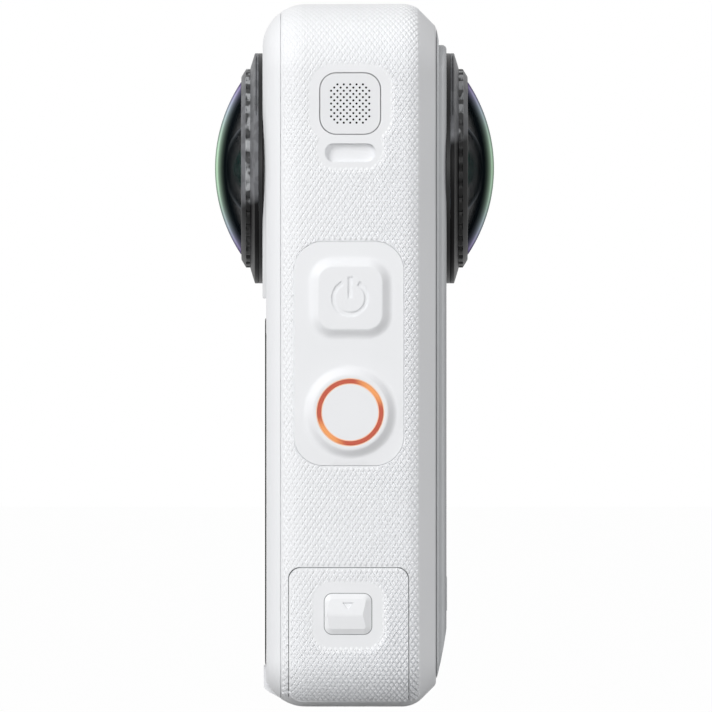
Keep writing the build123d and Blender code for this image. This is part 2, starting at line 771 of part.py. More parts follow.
# Both lens assemblies, front and rear
for name, way in lens_sides:
    lens_plane = Plane(origin=(0, 0, lens_z), x_dir=(way, 0, 0), z_dir=(0, -way, 0))

    # Sensor board on the chassis, with the image sensor on it
    with BuildPart() as sensor_board:
        block(sorted((way * chassis_half, way * sensor_front)), (-sensor_board_half, sensor_board_half),
              (lens_z - sensor_board_half, lens_z + sensor_board_half))
        block(sorted((way * sensor_front, way * (sensor_front + sensor_height))), (-sensor_half, sensor_half),
              (lens_z - sensor_half, lens_z + sensor_half))
        with BuildSketch(Plane.YZ):
            with Locations((0, lens_z)):
                with GridLocations(2 * lens_screw_offset, 2 * lens_screw_offset, 2, 2):
                    Circle(screw_hole_r)
        extrude(amount=way * sensor_front, mode=Mode.SUBTRACT)
    sensor_board.part.label = f"{name}_sensor_board"
    export_step(sensor_board.part, f"parts/{name}_sensor_board.step")

    # Lens barrel: a square holder, the tube and the cup round the front lens
    with BuildPart() as lens_barrel:
        with BuildSketch(lens_plane):
            with BuildLine():
                Polyline(
                    (holder_front - seam_gap, barrel_bore_r),
                    (barrel_seat, barrel_bore_r),
                    (barrel_seat, barrel_cup_r - barrel_cup_wall),
                    (barrel_cup_edge, barrel_cup_r - barrel_cup_wall),
                    (barrel_cup_edge, barrel_cup_r),
                    (barrel_cup_base, barrel_cup_r),
                    (barrel_cup_base, barrel_tube_r),
                    (holder_front - seam_gap, barrel_tube_r),
                    close=True,
                )
            make_face()
        revolve(axis=lens_axis)
        block(sorted((way * sensor_front, way * holder_front)), (-sensor_board_half, sensor_board_half),
              (lens_z - sensor_board_half, lens_z + sensor_board_half))
        rod_x((way * barrel_stop, way * holder_front), barrel_bore_r, 0, lens_z, Mode.SUBTRACT)
        sensor_room = sensor_half + holder_slack
        block(sorted((way * sensor_front, way * (sensor_front + sensor_height + holder_slack))),
              (-sensor_room, sensor_room), (lens_z - sensor_room, lens_z + sensor_room), Mode.SUBTRACT)
        rod_x((way * sensor_front, way * holder_front), barrel_stop_r, 0, lens_z, Mode.SUBTRACT)
        with BuildSketch(Plane.YZ):
            with Locations((0, lens_z)):
                with GridLocations(2 * lens_screw_offset, 2 * lens_screw_offset, 2, 2):
                    Circle(screw_hole_r)
        extrude(amount=way * holder_front, mode=Mode.SUBTRACT)
    lens_barrel.part.label = f"{name}_lens_barrel"
    export_step(lens_barrel.part, f"parts/{name}_lens_barrel.step")

    # Inner lenses: two thick lenses in the barrel's bore
    with BuildPart() as inner_lenses:
        for lens_number in range(inner_lens_count):
            lens_base = barrel_stop + inner_lens_gap + lens_number * inner_lens_spacing
            with BuildSketch(lens_plane):
                with Locations((lens_base + inner_lens_thickness / 2, barrel_bore_r / 2)):
                    Rectangle(inner_lens_thickness, barrel_bore_r - 2 * inner_lens_gap)
                with Locations((lens_base + inner_lens_thickness - inner_lens_r, 0)):
                    Circle(inner_lens_r, mode=Mode.INTERSECT)
                with Locations((lens_base + inner_lens_thickness / 2, 0)):
                    Rectangle(inner_lens_thickness, barrel_bore_r / 2)
                with Locations((lens_base + inner_lens_thickness / 2, -barrel_bore_r / 2)):
                    Rectangle(2 * inner_lens_thickness, barrel_bore_r, mode=Mode.SUBTRACT)
            revolve(axis=lens_axis)
    inner_lenses.part.label = f"{name}_inner_lenses"
    export_step(inner_lenses.part, f"parts/{name}_inner_lenses.step")

    # Front lens: the bulging fisheye glass in the barrel's cup
    with BuildPart() as fisheye_lens:
        with BuildSketch(lens_plane):
            with Locations((front_lens_apex - front_lens_radius, 0)):
                Circle(front_lens_radius)
            back_drop = front_lens_back_r - (front_lens_back_r ** 2 - front_lens_back_rim ** 2) ** 0.5
            with Locations((barrel_seat + back_drop - front_lens_back_r, 0)):
                Circle(front_lens_back_r, mode=Mode.SUBTRACT)
            with Locations((barrel_seat, 0)):
                Rectangle(front_lens_apex, front_lens_rim, align=(Align.MIN, Align.MIN), mode=Mode.INTERSECT)
        revolve(axis=lens_axis)
    fisheye_lens.part.label = f"{name}_fisheye_lens"
    export_step(fisheye_lens.part, f"parts/{name}_fisheye_lens.step")

    # Lens mount: the fixed bayonet ring in the cover's opening
    with BuildPart() as lens_mount:
        with BuildSketch(lens_plane):
            with BuildLine():
                Polyline(
                    (mount_tube_base, mount_bore_r),
                    (mount_front, mount_bore_r),
                    (mount_front, mount_r),
                    (front_face_x, mount_r),
                    (front_face_x, mount_tube_r),
                    (mount_tube_base, mount_tube_r),
                    close=True,
                )
            make_face()
        revolve(axis=lens_axis)
        lip_ring = tab_ring(way * mount_lip_base, mount_lip_r, mount_bore_r + guard_gap, lip_width, tab_count)
        extrude(lip_ring, amount=way * mount_lip_thickness)
    lens_mount.part.label = f"{name}_lens_mount"
    export_step(lens_mount.part, f"parts/{name}_lens_mount.step")

    # Guard ring: the twist-off ring with its flange, notched grip and rim
    with BuildPart() as guard_ring:
        skirt_bore_r = guard_skirt_r - guard_skirt_wall
        flange_front = guard_base + guard_flange_thickness
        with BuildSketch(lens_plane):
            with BuildLine():
                Polyline(
                    (guard_skirt_base, skirt_bore_r),
                    (guard_skirt_base, guard_skirt_r),
                    (guard_base, guard_skirt_r),
                    (guard_base, mount_r),
                    (flange_front, mount_r),
                    (guard_neck, guard_neck_r),
                    (guard_neck, grip_r),
                    (grip_end, grip_r),
                    (guard_rim, guard_rim_r),
                    (guard_rim, dome_rim_r + dome_gap),
                    (dome_shelf, dome_rim_r + dome_gap),
                    (dome_shelf, guard_bore_r),
                    (flange_front, guard_bore_r),
                    (guard_base, skirt_bore_r),
                    close=True,
                )
            make_face()
            with Locations((guard_base, seal_mean_r)):
                Rectangle(2 * seal_height + 2 * seal_gap, seal_width + 2 * seal_gap, mode=Mode.SUBTRACT)
        revolve(axis=lens_axis)
        lug_inner_r = guard_skirt_r - guard_gap
        lug_ring = tab_ring(way * guard_skirt_base, lug_inner_r, guard_lug_r, lug_width, tab_count)
        extrude(lug_ring, amount=way * guard_lug_thickness)
        with BuildSketch(Plane.YZ.offset(way * guard_neck)):
            with Locations((0, lens_z)):
                with PolarLocations(grip_r, grip_notches):
                    Rectangle(2 * grip_notch_depth, grip_notch_width)
        extrude(amount=way * (grip_end - guard_neck), mode=Mode.SUBTRACT)
    guard_ring.part.label = f"{name}_guard_ring"
    export_step(guard_ring.part, f"parts/{name}_guard_ring.step")

    # Guard seal: the ring of rubber in the groove under the flange
    with BuildPart() as guard_seal:
        with BuildSketch(lens_plane):
            with Locations((guard_base, seal_mean_r)):
                Rectangle(seal_height, seal_width, align=(Align.MIN, Align.CENTER))
        revolve(axis=lens_axis)
    guard_seal.part.label = f"{name}_guard_seal"
    export_step(guard_seal.part, f"parts/{name}_guard_seal.step")

    # Guard dome: the outer glass, a shell of even thickness
    with BuildPart() as guard_dome:
        with BuildSketch(lens_plane):
            with Locations((dome_centre, 0)):
                Circle(dome_radius)
                Circle(dome_radius - dome_glass, mode=Mode.SUBTRACT)
            with Locations((guard_skirt_base, 0)):
                Rectangle(dome_apex, dome_rim_r, align=(Align.MIN, Align.MIN), mode=Mode.INTERSECT)
        revolve(axis=lens_axis)
    guard_dome.part.label = f"{name}_guard_dome"
    export_step(guard_dome.part, f"parts/{name}_guard_dome.step")

# Lens screws: four for each barrel, into the chassis from both sides
with BuildPart() as lens_screws:
    head_front = holder_front + screw_head_height
    for _, way in lens_sides:
        for corner_side in (-1, 1):
            for corner_up in (-1, 1):
                screw_y = corner_side * lens_screw_offset
                screw_z = lens_z + corner_up * lens_screw_offset
                rod_x((way * holder_front, way * head_front), screw_head_r, screw_y, screw_z)
                rod_x((way * lens_screw_tip, way * holder_front), screw_shank_r, screw_y, screw_z)
lens_screws.part.label = "lens_screws"
export_step(lens_screws.part, "parts/lens_screws.step")

# Microphone cap with its staggered holes, the mesh and the microphone behind it
with BuildPart() as mic_cap:
    side_prism((feature_x, mic_centre_z), (mic_width, mic_height), mic_corner_r,
               (side_y, side_y + mic_thickness))
    with BuildSketch(Plane.XZ.offset(-side_y)) as mic_holes:
        for row in range(mic_rows):
            holes_in_row = mic_long_row_count - 1 if row % 2 else mic_long_row_count
            if row in (0, mic_rows - 1):
                holes_in_row = mic_edge_row_count
            row_z = mic_centre_z + (row - (mic_rows - 1) / 2) * mic_row_pitch
            with Locations((feature_x, row_z)):
                with GridLocations(mic_column_pitch, mic_row_pitch, holes_in_row, 1):
                    Circle(mic_hole_r)
    extrude(amount=-mic_thickness, mode=Mode.SUBTRACT)
mic_cap.part.label = "mic_cap"
export_step(mic_cap.part, "parts/mic_cap.step")

with BuildPart() as mic_mesh:
    side_prism((feature_x, mic_centre_z), (mic_width - mic_mesh_margin, mic_height - mic_mesh_margin),
               mic_corner_r - mic_mesh_margin / 2, (side_y + mic_thickness, mic_seat_y))
mic_mesh.part.label = "mic_mesh"
export_step(mic_mesh.part, "parts/mic_mesh.step")

with BuildPart() as microphone:
    block((feature_x - mic_board_half, feature_x + mic_board_half),
          (side_inner_y, side_inner_y + mic_board_thickness),
          (mic_centre_z - mic_board_half, mic_centre_z + mic_board_half))
    block((feature_x - mic_can_half, feature_x + mic_can_half), (side_inner_y - mic_can_height, side_inner_y),
          (mic_centre_z - mic_can_half, mic_centre_z + mic_can_half))
microphone.part.label = "microphone"
export_step(microphone.part, "parts/microphone.step")

# Button pad: the silicone sheet round both buttons, flush with the frame
with BuildPart() as button_pad:
    add(body_form.part)
    side_prism((pad_x, pad_centre_z), (pad_width - 2 * pad_gap, pad_height - 2 * pad_gap),
               pad_corner_r - pad_gap, (side_y - overrun, pad_floor_y), Mode.INTERSECT)
    side_prism((feature_x, power_z), (power_base_width, power_base_height), power_base_corner_r,
               (side_y - overrun, pad_floor_y), Mode.SUBTRACT)
    side_rod((feature_x, record_z), record_base_r, (side_y - overrun, pad_floor_y), Mode.SUBTRACT)
button_pad.part.label = "button_pad"
export_step(button_pad.part, "parts/button_pad.step")

# Power button: soft flanks up to a flat top with the power mark sunk in it
with BuildPart() as power_button:
    side_prism((feature_x, power_z), (power_base_width - 2 * button_gap, power_base_height - 2 * button_gap),
               power_base_corner_r - button_gap, (side_y, button_back_y))
    with BuildSketch(Plane.XZ.offset(-side_y)):
        with Locations((feature_x, power_z)):
            RectangleRounded(power_base_width - 2 * button_gap, power_base_height - 2 * button_gap,
                             power_base_corner_r - button_gap)
    with BuildSketch(Plane.XZ.offset(-side_y + power_height)):
        with Locations((feature_x, power_z)):
            RectangleRounded(power_top_width, power_top_height, power_top_corner_r)
    loft()
    fillet(power_button.faces().sort_by(Axis.Y)[0].edges(), power_top_r)
    side_rod((feature_x, power_z), stem_r, (button_back_y, button_back_y + stem_length))
    with BuildSketch(Plane.XZ.offset(-side_y + power_height)):
        with Locations((feature_x, power_z)):
            Circle(mark_outer_r)
            Circle(mark_inner_r, mode=Mode.SUBTRACT)
        with Locations((feature_x, power_z + mark_outer_r)):
            Rectangle(mark_gap_width, mark_outer_r, mode=Mode.SUBTRACT)
        with Locations((feature_x, power_z + (mark_bar_low + mark_bar_high) / 2)):
            Rectangle(mark_bar_width, mark_bar_high - mark_bar_low)
    extrude(amount=-mark_depth, mode=Mode.SUBTRACT)
power_button.part.label = "power_button"
export_step(power_button.part, "parts/power_button.step")

# Record button: round flanks, a flat top and the groove of the coloured ring
with BuildPart() as record_button:
    record_face_y = side_y - record_height
    side_rod((feature_x, record_z), record_base_r - button_gap, (side_y, button_back_y))
    with BuildSketch(Plane.XZ.offset(-side_y)):
        with Locations((feature_x, record_z)):
            Circle(record_base_r - button_gap)
    with BuildSketch(Plane.XZ.offset(-record_face_y)):
        with Locations((feature_x, record_z)):
            Circle(record_top_r)
    loft()
    fillet(record_button.faces().sort_by(Axis.Y)[0].edges(), record_top_edge_r)
    side_rod((feature_x, record_z), stem_r, (button_back_y, button_back_y + stem_length))
    with BuildSketch(Plane.XZ.offset(-record_face_y)):
        with Locations((feature_x, record_z)):
            Circle(ring_outer_r + ring_gap)
            Circle(ring_inner_r - ring_gap, mode=Mode.SUBTRACT)
    extrude(amount=-ring_depth, mode=Mode.SUBTRACT)
record_button.part.label = "record_button"
export_step(record_button.part, "parts/record_button.step")

with BuildPart() as record_ring:
    with BuildSketch(Plane.XZ.offset(-record_face_y + ring_proud)):
        with Locations((feature_x, record_z)):
            Circle(ring_outer_r)
            Circle(ring_inner_r, mode=Mode.SUBTRACT)
    extrude(amount=-ring_depth - ring_proud)
record_ring.part.label = "record_ring"
export_step(record_ring.part, "parts/record_ring.step")

# Button board on the wall behind the pad, and the two dome switches in the wall's holes
with BuildPart() as button_board:
    block((feature_x - button_board_half_width, feature_x + button_board_half_width),
          (side_inner_y, side_inner_y + button_board_thickness),
          (record_z - button_board_margin, power_z + button_board_margin))
button_board.part.label = "button_board"
export_step(button_board.part, "parts/button_board.step")

with BuildPart() as dome_switches:
    for button_z in (power_z, record_z):
        side_rod((feature_x, button_z), dome_switch_r, (side_inner_y - dome_switch_height, side_inner_y))
dome_switches.part.label = "dome_switches"
export_step(dome_switches.part, "parts/dome_switches.step")

# Battery cap: the textured shell on the end of the battery, wrapped round the base corner
with BuildPart() as battery_cap:
    add(body_form.part)
    add(cap_blank, mode=Mode.INTERSECT)
    with BuildSketch(Plane.YZ.offset(cap_low_x - overrun)):
        with Locations((corner_y, corner_z)):
            Circle(base_corner_r - cap_thickness)
    extrude(amount=cap_high_x - cap_low_x + 2 * overrun, mode=Mode.SUBTRACT)
    stem_slot_low = latch_z - latch_stem_height / 2 - latch_travel - latch_stem_gap
    stem_slot_high = latch_z + latch_stem_height / 2 + latch_stem_gap
    stem_slot_half = latch_stem_width / 2 + latch_stem_gap
    block((latch_x - stem_slot_half, latch_x + stem_slot_half), (side_y - overrun, cap_inner_y),
          (stem_slot_low, stem_slot_high), Mode.SUBTRACT)
battery_cap.part.label = "battery_cap"
export_step(battery_cap.part, "parts/battery_cap.step")

# Cap liner: the inner plate of the cap, on two legs, with the seat of the latch spring
with BuildPart() as cap_liner:
    liner_low_x = cap_low_x + liner_margin
    liner_high_x = cap_high_x - liner_margin
    liner_high_z = cap_top_z - liner_margin / 2
    block((liner_low_x, liner_high_x), (liner_y, gasket_y), (liner_low_z, liner_high_z))
    block((liner_low_x, liner_low_x + liner_leg), (cap_inner_y, liner_y), (liner_low_z, liner_high_z))
    block((liner_high_x - liner_leg, liner_high_x), (cap_inner_y, liner_y), (liner_low_z, liner_high_z))
    seat_top_z = latch_plate_high_z - spring_arm_height - spring_length
    block((spring_x - spring_seat_half_width, spring_x + spring_seat_half_width),
          (spring_y - spring_mean_r - spring_wire_r, liner_y), (seat_top_z - spring_seat_height, seat_top_z))
cap_liner.part.label = "cap_liner"
export_step(cap_liner.part, "parts/cap_liner.step")

with BuildPart() as cap_gasket:
    block((liner_low_x, liner_high_x), (gasket_y, gasket_y + gasket_height), (liner_low_z, liner_high_z))
    block((liner_low_x + gasket_width, liner_high_x - gasket_width), (gasket_y, gasket_y + gasket_height),
          (liner_low_z + gasket_width, liner_high_z - gasket_width), Mode.SUBTRACT)
cap_gasket.part.label = "cap_gasket"
export_step(cap_gasket.part, "parts/cap_gasket.step")

# Battery cell block behind the liner
with BuildPart() as battery_cell:
    cell_low_x = cap_low_x + cell_side_margin + gasket_width
    cell_high_x = cap_high_x - cell_side_margin - gasket_width
    cell_low_z = liner_low_z + gasket_width + seam_gap
    cell_high_z = liner_high_z - gasket_width - seam_gap
    block((cell_low_x, cell_high_x), (gasket_y, gasket_y + cell_length), (cell_low_z, cell_high_z))
    fillet(battery_cell.edges().filter_by(Axis.Y), cell_corner_r)
battery_cell.part.label = "battery_cell"
export_step(battery_cell.part, "parts/battery_cell.step")

# Battery bay: the tray in the base of the body, stepped to take the cap's gasket
with BuildPart() as battery_bay:
    bay_low_x = cap_low_x - cap_gap - bay_wall
    bay_high_x = deck_x - seam_gap
    block((bay_low_x, bay_high_x), (side_inner_y, bay_end_y), (boss_top_z, bay_top_z))
    chamfer(battery_bay.edges().filter_by(Axis.X).group_by(Axis.Z)[0].group_by(Axis.Y)[0], bay_edge)
    block((liner_low_x - cell_gap, liner_high_x + cell_gap), (side_inner_y, seal_y),
          (liner_low_z - cell_gap, liner_high_z + cell_gap), Mode.SUBTRACT)
    block((cell_low_x - cell_gap, cell_high_x + cell_gap), (side_inner_y, bay_end_y - bay_wall),
          (cell_low_z - cell_gap, cell_high_z + cell_gap), Mode.SUBTRACT)
battery_bay.part.label = "battery_bay"
export_step(battery_bay.part, "parts/battery_bay.step")

with BuildPart() as battery_contacts:
    contact_z = (cell_low_z + cell_high_z) / 2
    contact_x = (cell_low_x + cell_high_x) / 2
    contact_y = bay_end_y - bay_wall
    block((contact_x - contact_half_width, contact_x + contact_half_width),
          (contact_y - contact_thickness, contact_y),
          (contact_z - contact_height / 2, contact_z + contact_height / 2))
battery_contacts.part.label = "battery_contacts"
export_step(battery_contacts.part, "parts/battery_contacts.step")

# Battery latch: the faceted slider outside, its stem and the plate behind the cap
with BuildPart() as battery_latch:
    latch_base_y = side_y - latch_lift
    latch_face_y = latch_base_y - latch_proud
    side_prism((latch_x, latch_z), (latch_width, latch_height), latch_corner_r, (latch_face_y, latch_base_y))
    chamfer(battery_latch.faces().sort_by(Axis.Y)[0].edges(), latch_edge)
    with BuildSketch(Plane.YZ.offset(latch_x - latch_width)):
        with BuildLine():
            Polyline(
                (latch_face_y, latch_z),
                (latch_face_y - overrun, latch_z),
                (latch_face_y - overrun, latch_z - latch_height),
                (latch_face_y + 2 * latch_ridge_drop, latch_z - latch_height),
                close=True,
            )
        make_face()
    extrude(amount=2 * latch_width, mode=Mode.SUBTRACT)
    with BuildSketch(Plane.XZ.offset(-latch_face_y)):
        with BuildLine():
            Polyline(
                (latch_x - triangle_width / 2, triangle_z + triangle_height / 2),
                (latch_x + triangle_width / 2, triangle_z + triangle_height / 2),
                (latch_x, triangle_z - triangle_height / 2),
                close=True,
            )
        make_face()
    extrude(amount=-triangle_depth, mode=Mode.SUBTRACT)
    plate_y = cap_inner_y + latch_plate_gap
    block((latch_x - latch_stem_width / 2, latch_x + latch_stem_width / 2), (latch_base_y, plate_y),
          (latch_z - latch_stem_height / 2, latch_z + latch_stem_height / 2))
    block((latch_x - latch_plate_width / 2, latch_x + latch_plate_width / 2),
          (plate_y, plate_y + latch_plate_thickness), (latch_plate_low_z, latch_plate_high_z))
    block((latch_x, spring_x + spring_seat_half_width),
          (plate_y, spring_y + spring_mean_r), (latch_plate_high_z - spring_arm_height, latch_plate_high_z))
battery_latch.part.label = "battery_latch"
export_step(battery_latch.part, "parts/battery_latch.step")

# Latch spring between the latch's arm and the liner's seat
with BuildPart() as latch_spring:
    coil_height = spring_length - 2 * spring_gap - 2 * spring_wire_r
    coil_base_z = seat_top_z + spring_gap + spring_wire_r
    with BuildLine() as coil:
        Helix(coil_height / spring_turns, coil_height, spring_mean_r,
              center=(spring_x, spring_y, coil_base_z))
    with BuildSketch(Plane(origin=coil.line @ 0, z_dir=coil.line % 0)):
        Circle(spring_wire_r)
    sweep()
latch_spring.part.label = "latch_spring"
export_step(latch_spring.part, "parts/latch_spring.step")

# Port door on the far side: its hinge edge is rounded about the pin
with BuildPart() as port_door:
    add(body_form.part)
    block((port_low_x, port_high_x), (port_side_y - port_thickness, port_side_y + overrun),
          (port_low_z, port_high_z), Mode.INTERSECT)
    fillet(port_door.edges().filter_by(Axis.Z).group_by(Axis.X)[0], port_knuckle_r - port_pin_fit)
    with BuildSketch(Plane.XY.offset(port_low_z)):
        with Locations((port_low_x + port_knuckle_r, port_side_y - port_knuckle_r)):
            Circle(port_pin_r + port_pin_gap)
    extrude(amount=port_high_z - port_low_z, mode=Mode.SUBTRACT)
port_door.part.label = "port_door"
export_step(port_door.part, "parts/port_door.step")

with BuildPart() as port_pin:
    with BuildSketch(Plane.XY.offset(port_low_z - port_pin_hold)):
        with Locations((port_low_x + port_knuckle_r, port_side_y - port_knuckle_r)):
            Circle(port_pin_r)
    extrude(amount=port_high_z - port_low_z + 2 * port_pin_hold)
port_pin.part.label = "port_pin"
export_step(port_pin.part, "parts/port_pin.step")

with BuildPart() as port_gasket:
    gasket_outer_y = port_side_y - port_thickness
    inset = port_gasket_inset
    block((port_low_x + inset, port_high_x - inset), (gasket_outer_y - port_gasket_height, gasket_outer_y),
          (port_low_z + inset, port_high_z - inset))
    inset = port_gasket_inset + port_gasket_width
    block((port_low_x + inset, port_high_x - inset), (gasket_outer_y - port_gasket_height, gasket_outer_y),
          (port_low_z + inset, port_high_z - inset), Mode.SUBTRACT)
port_gasket.part.label = "port_gasket"
export_step(port_gasket.part, "parts/port_gasket.step")

# Port bezel: the plate behind the door, with windows for the socket and the card
with BuildPart() as port_bezel:
    bezel_inner_y = port_inner_y - bezel_thickness
    socket_x = board_front_x + usb_height / 2
    card_x = -chassis_half - card_slot_wall - card_gap - card_thickness / 2
    socket_half_x = usb_height / 2 + socket_gap
    socket_half_z = usb_width / 2 + socket_gap
    card_half_z = card_width / 2 + card_gap
    block((port_low_x - bezel_margin, port_high_x + bezel_margin), (bezel_inner_y, port_inner_y),
          (port_low_z - bezel_margin, port_high_z + bezel_margin))
    block((socket_x - socket_half_x, socket_x + socket_half_x), (bezel_inner_y, port_inner_y),
          (usb_centre_z - socket_half_z, usb_centre_z + socket_half_z), Mode.SUBTRACT)
    block((card_x - card_thickness, card_x + card_thickness), (bezel_inner_y, port_inner_y),
          (usb_centre_z - card_half_z, usb_centre_z + card_half_z), Mode.SUBTRACT)
    block((-chassis_half, chassis_half), (bezel_inner_y, port_inner_y - chassis_side_gap),
          (port_low_z - bezel_margin, port_high_z + bezel_margin), Mode.SUBTRACT)
port_bezel.part.label = "port_bezel"
export_step(port_bezel.part, "parts/port_bezel.step")

# Main board with its screws, shield, heat spreader and socket
with BuildPart() as main_board:
    block((board_x, board_front_x), (board_low_y, board_high_y), (board_low_z, board_high_z))
    for post_y, post_z in standoff_places:
        rod_x((board_x, board_front_x), screw_hole_r, post_y, post_z, Mode.SUBTRACT)
main_board.part.label = "main_board"
export_step(main_board.part, "parts/main_board.step")

with BuildPart() as board_screws:
    for post_y, post_z in standoff_places:
        rod_x((board_front_x, board_front_x + screw_head_height), screw_head_r, post_y, post_z)
        rod_x((-chassis_half, board_front_x), screw_shank_r, post_y, post_z)
board_screws.part.label = "board_screws"
export_step(board_screws.part, "parts/board_screws.step")

with BuildPart() as board_shield:
    shield_front_x = board_front_x + shield_height
    block((board_front_x, shield_front_x), (shield_low_y, shield_high_y), (shield_low_z, shield_high_z))
    block((board_front_x, shield_front_x - shield_wall),
          (shield_low_y + shield_wall, shield_high_y - shield_wall),
          (shield_low_z + shield_wall, shield_high_z - shield_wall), Mode.SUBTRACT)
board_shield.part.label = "board_shield"
export_step(board_shield.part, "parts/board_shield.step")

with BuildPart() as heat_spreader:
    block((shield_front_x, shield_front_x + spreader_thickness),
          (shield_low_y - spreader_overhang, shield_high_y + spreader_overhang),
          (shield_low_z - spreader_overhang, shield_high_z + spreader_overhang))
heat_spreader.part.label = "heat_spreader"
export_step(heat_spreader.part, "parts/heat_spreader.step")

with BuildPart() as usb_socket:
    socket_mouth_y = port_inner_y - seam_gap
    socket_back_y = socket_mouth_y - usb_depth
    with BuildSketch(Plane.XZ.offset(-socket_mouth_y)):
        with Locations((socket_x, usb_centre_z)):
            RectangleRounded(usb_height, usb_width, usb_height / 2 - seam_gap)
    extrude(amount=usb_depth)
    with BuildSketch(Plane.XZ.offset(-socket_mouth_y)):
        with Locations((socket_x, usb_centre_z)):
            RectangleRounded(usb_height - 2 * usb_wall, usb_width - 2 * usb_wall,
                             usb_height / 2 - usb_wall - seam_gap)
    extrude(amount=usb_depth - usb_back_wall, mode=Mode.SUBTRACT)
    block((socket_x - usb_tongue / 2, socket_x + usb_tongue / 2), (socket_back_y, socket_mouth_y - usb_wall),
          (usb_centre_z - usb_tongue_width / 2, usb_centre_z + usb_tongue_width / 2))
usb_socket.part.label = "usb_socket"
export_step(usb_socket.part, "parts/usb_socket.step")

# Card slot on the chassis, and the memory card in it
with BuildPart() as card_slot:
    slot_half_z = card_half_z + card_slot_wall
    slot_back_x = card_x - card_thickness / 2 - card_gap - card_slot_wall
    block((slot_back_x, -chassis_half), (bezel_inner_y - card_length, bezel_inner_y),
          (usb_centre_z - slot_half_z, usb_centre_z + slot_half_z))
    block((slot_back_x + card_slot_wall, -chassis_half - card_slot_wall),
          (bezel_inner_y - card_length + card_slot_wall, bezel_inner_y),
          (usb_centre_z - card_half_z, usb_centre_z + card_half_z), Mode.SUBTRACT)
card_slot.part.label = "card_slot"
export_step(card_slot.part, "parts/card_slot.step")

with BuildPart() as memory_card:
    block((card_x - card_thickness / 2, card_x + card_thickness / 2),
          (bezel_inner_y - card_length + card_slot_wall + card_gap, bezel_inner_y + card_gap),
          (usb_centre_z - card_width / 2, usb_centre_z + card_width / 2))
memory_card.part.label = "memory_card"
export_step(memory_card.part, "parts/memory_card.step")

# Speaker against the wall behind its holes
with BuildPart() as speaker:
    block((-chassis_half - speaker_thickness, -chassis_half), (port_inner_y - speaker_depth, port_inner_y),
          (speaker_low_z, speaker_low_z + speaker_height))
speaker.part.label = "speaker"
export_step(speaker.part, "parts/speaker.step")
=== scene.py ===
"""Looks of a slim 360 degree camera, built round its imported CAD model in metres."""
import logging
import math
from collections.abc import Callable, Sequence
from dataclasses import dataclass, field
from enum import Enum

import bpy
import numpy as np
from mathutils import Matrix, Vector


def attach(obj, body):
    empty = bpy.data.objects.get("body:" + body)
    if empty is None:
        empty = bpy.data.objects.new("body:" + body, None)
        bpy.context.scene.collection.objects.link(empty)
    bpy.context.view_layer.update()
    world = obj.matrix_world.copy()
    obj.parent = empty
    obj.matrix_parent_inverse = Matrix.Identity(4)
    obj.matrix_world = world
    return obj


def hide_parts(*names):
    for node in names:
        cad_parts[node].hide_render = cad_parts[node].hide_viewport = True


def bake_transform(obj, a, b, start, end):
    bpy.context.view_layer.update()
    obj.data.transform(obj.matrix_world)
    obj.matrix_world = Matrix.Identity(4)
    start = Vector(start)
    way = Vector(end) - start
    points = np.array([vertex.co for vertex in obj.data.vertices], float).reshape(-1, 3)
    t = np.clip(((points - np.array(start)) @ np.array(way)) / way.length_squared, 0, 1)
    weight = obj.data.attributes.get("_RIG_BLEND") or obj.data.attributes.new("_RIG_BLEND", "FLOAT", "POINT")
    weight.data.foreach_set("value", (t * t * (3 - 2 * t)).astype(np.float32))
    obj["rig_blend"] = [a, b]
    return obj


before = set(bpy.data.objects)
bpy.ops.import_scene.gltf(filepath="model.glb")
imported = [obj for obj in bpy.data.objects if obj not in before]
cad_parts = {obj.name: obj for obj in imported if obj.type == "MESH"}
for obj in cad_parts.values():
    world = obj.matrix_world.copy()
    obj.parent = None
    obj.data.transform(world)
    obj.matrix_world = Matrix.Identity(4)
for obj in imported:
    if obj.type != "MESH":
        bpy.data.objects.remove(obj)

LOG = logging.getLogger("camera")
MM = 0.001
SHARP_ANGLE = math.radians(32)
# Edges of soft pads and domes stay smooth up to this one
SOFT_ANGLE = math.radians(40)
# Corners nearer than this are one and the same
SAME_PLACE = 1e-7
# What lies within this of a plane counts as in it
NEAR_PLANE = MM / 100
# A wave texture's scale is divided by this for threads one grain wide
WAVE_SHARE = 6.3
# Brushed and turned lines are this many times longer than wide
LINE_STRETCH = 40
# A finish's roughness drifts between these shares of its value
DULLER, SHINIER = 1.12, 0.9
# The painted sheen of the lens rings, a painted reflection that lightens their upper side, sets in over
# these heights
SHEEN_LOW_Z = 86.2 * MM
SHEEN_HIGH_Z = 87.8 * MM
# On the rear ring the painted sheen reaches further down than on the front one
SHEEN_LEAN = -0.3
# Away from the -Y side the painted sheen fades over these heights and depths instead
SHEEN_SOFT_Z = (74.0 * MM, 101.0 * MM)
SHEEN_SOFT_Y = (-14.0 * MM, -8.0 * MM)
# Size of the patches that break up the painted sheen
SHEEN_PATCH = 1.7 * MM
# These place the painted highlight on the record ring
# Middle of the record ring
RING_CENTRE = (-0.7 * MM, 0.0, 47.7 * MM)
# Half the square of the ring's middle radius
FLASH_PRODUCT = 12.7 * MM * MM


class Pattern(Enum):
    """How a surface was made, which decides the pattern its material shows, or the painted light that it
    carries.
    """

    MOULDED = "moulded"
    POLISHED = "polished"
    BRUSHED = "brushed"
    TURNED = "turned"
    WOVEN = "woven"
    LAMINATE = "laminate"
    # Painted reflection on the upper side of a lens ring, broken into patches
    RUBBED = "painted_sheen_in_patches"
    # Painted highlight on one diagonal of a ring
    SPUN = "spun"


def linear(hex_colour: str) -> tuple[float, float, float, float]:
    """Turns an sRGB hex value to the linear colour that a shader takes.

    Args:
        hex_colour: The colour as six hex digits, with or without a leading #.

    Returns:
        Linear red, green, blue and an alpha of one.
    """
    digits = hex_colour.lstrip("#")
    channels = [int(digits[place:place + 2], 16) / 255 for place in (0, 2, 4)]
    curve = [c / 12.92 if c <= 0.04045 else ((c + 0.055) / 1.055) ** 2.4 for c in channels]
    return curve[0], curve[1], curve[2], 1.0


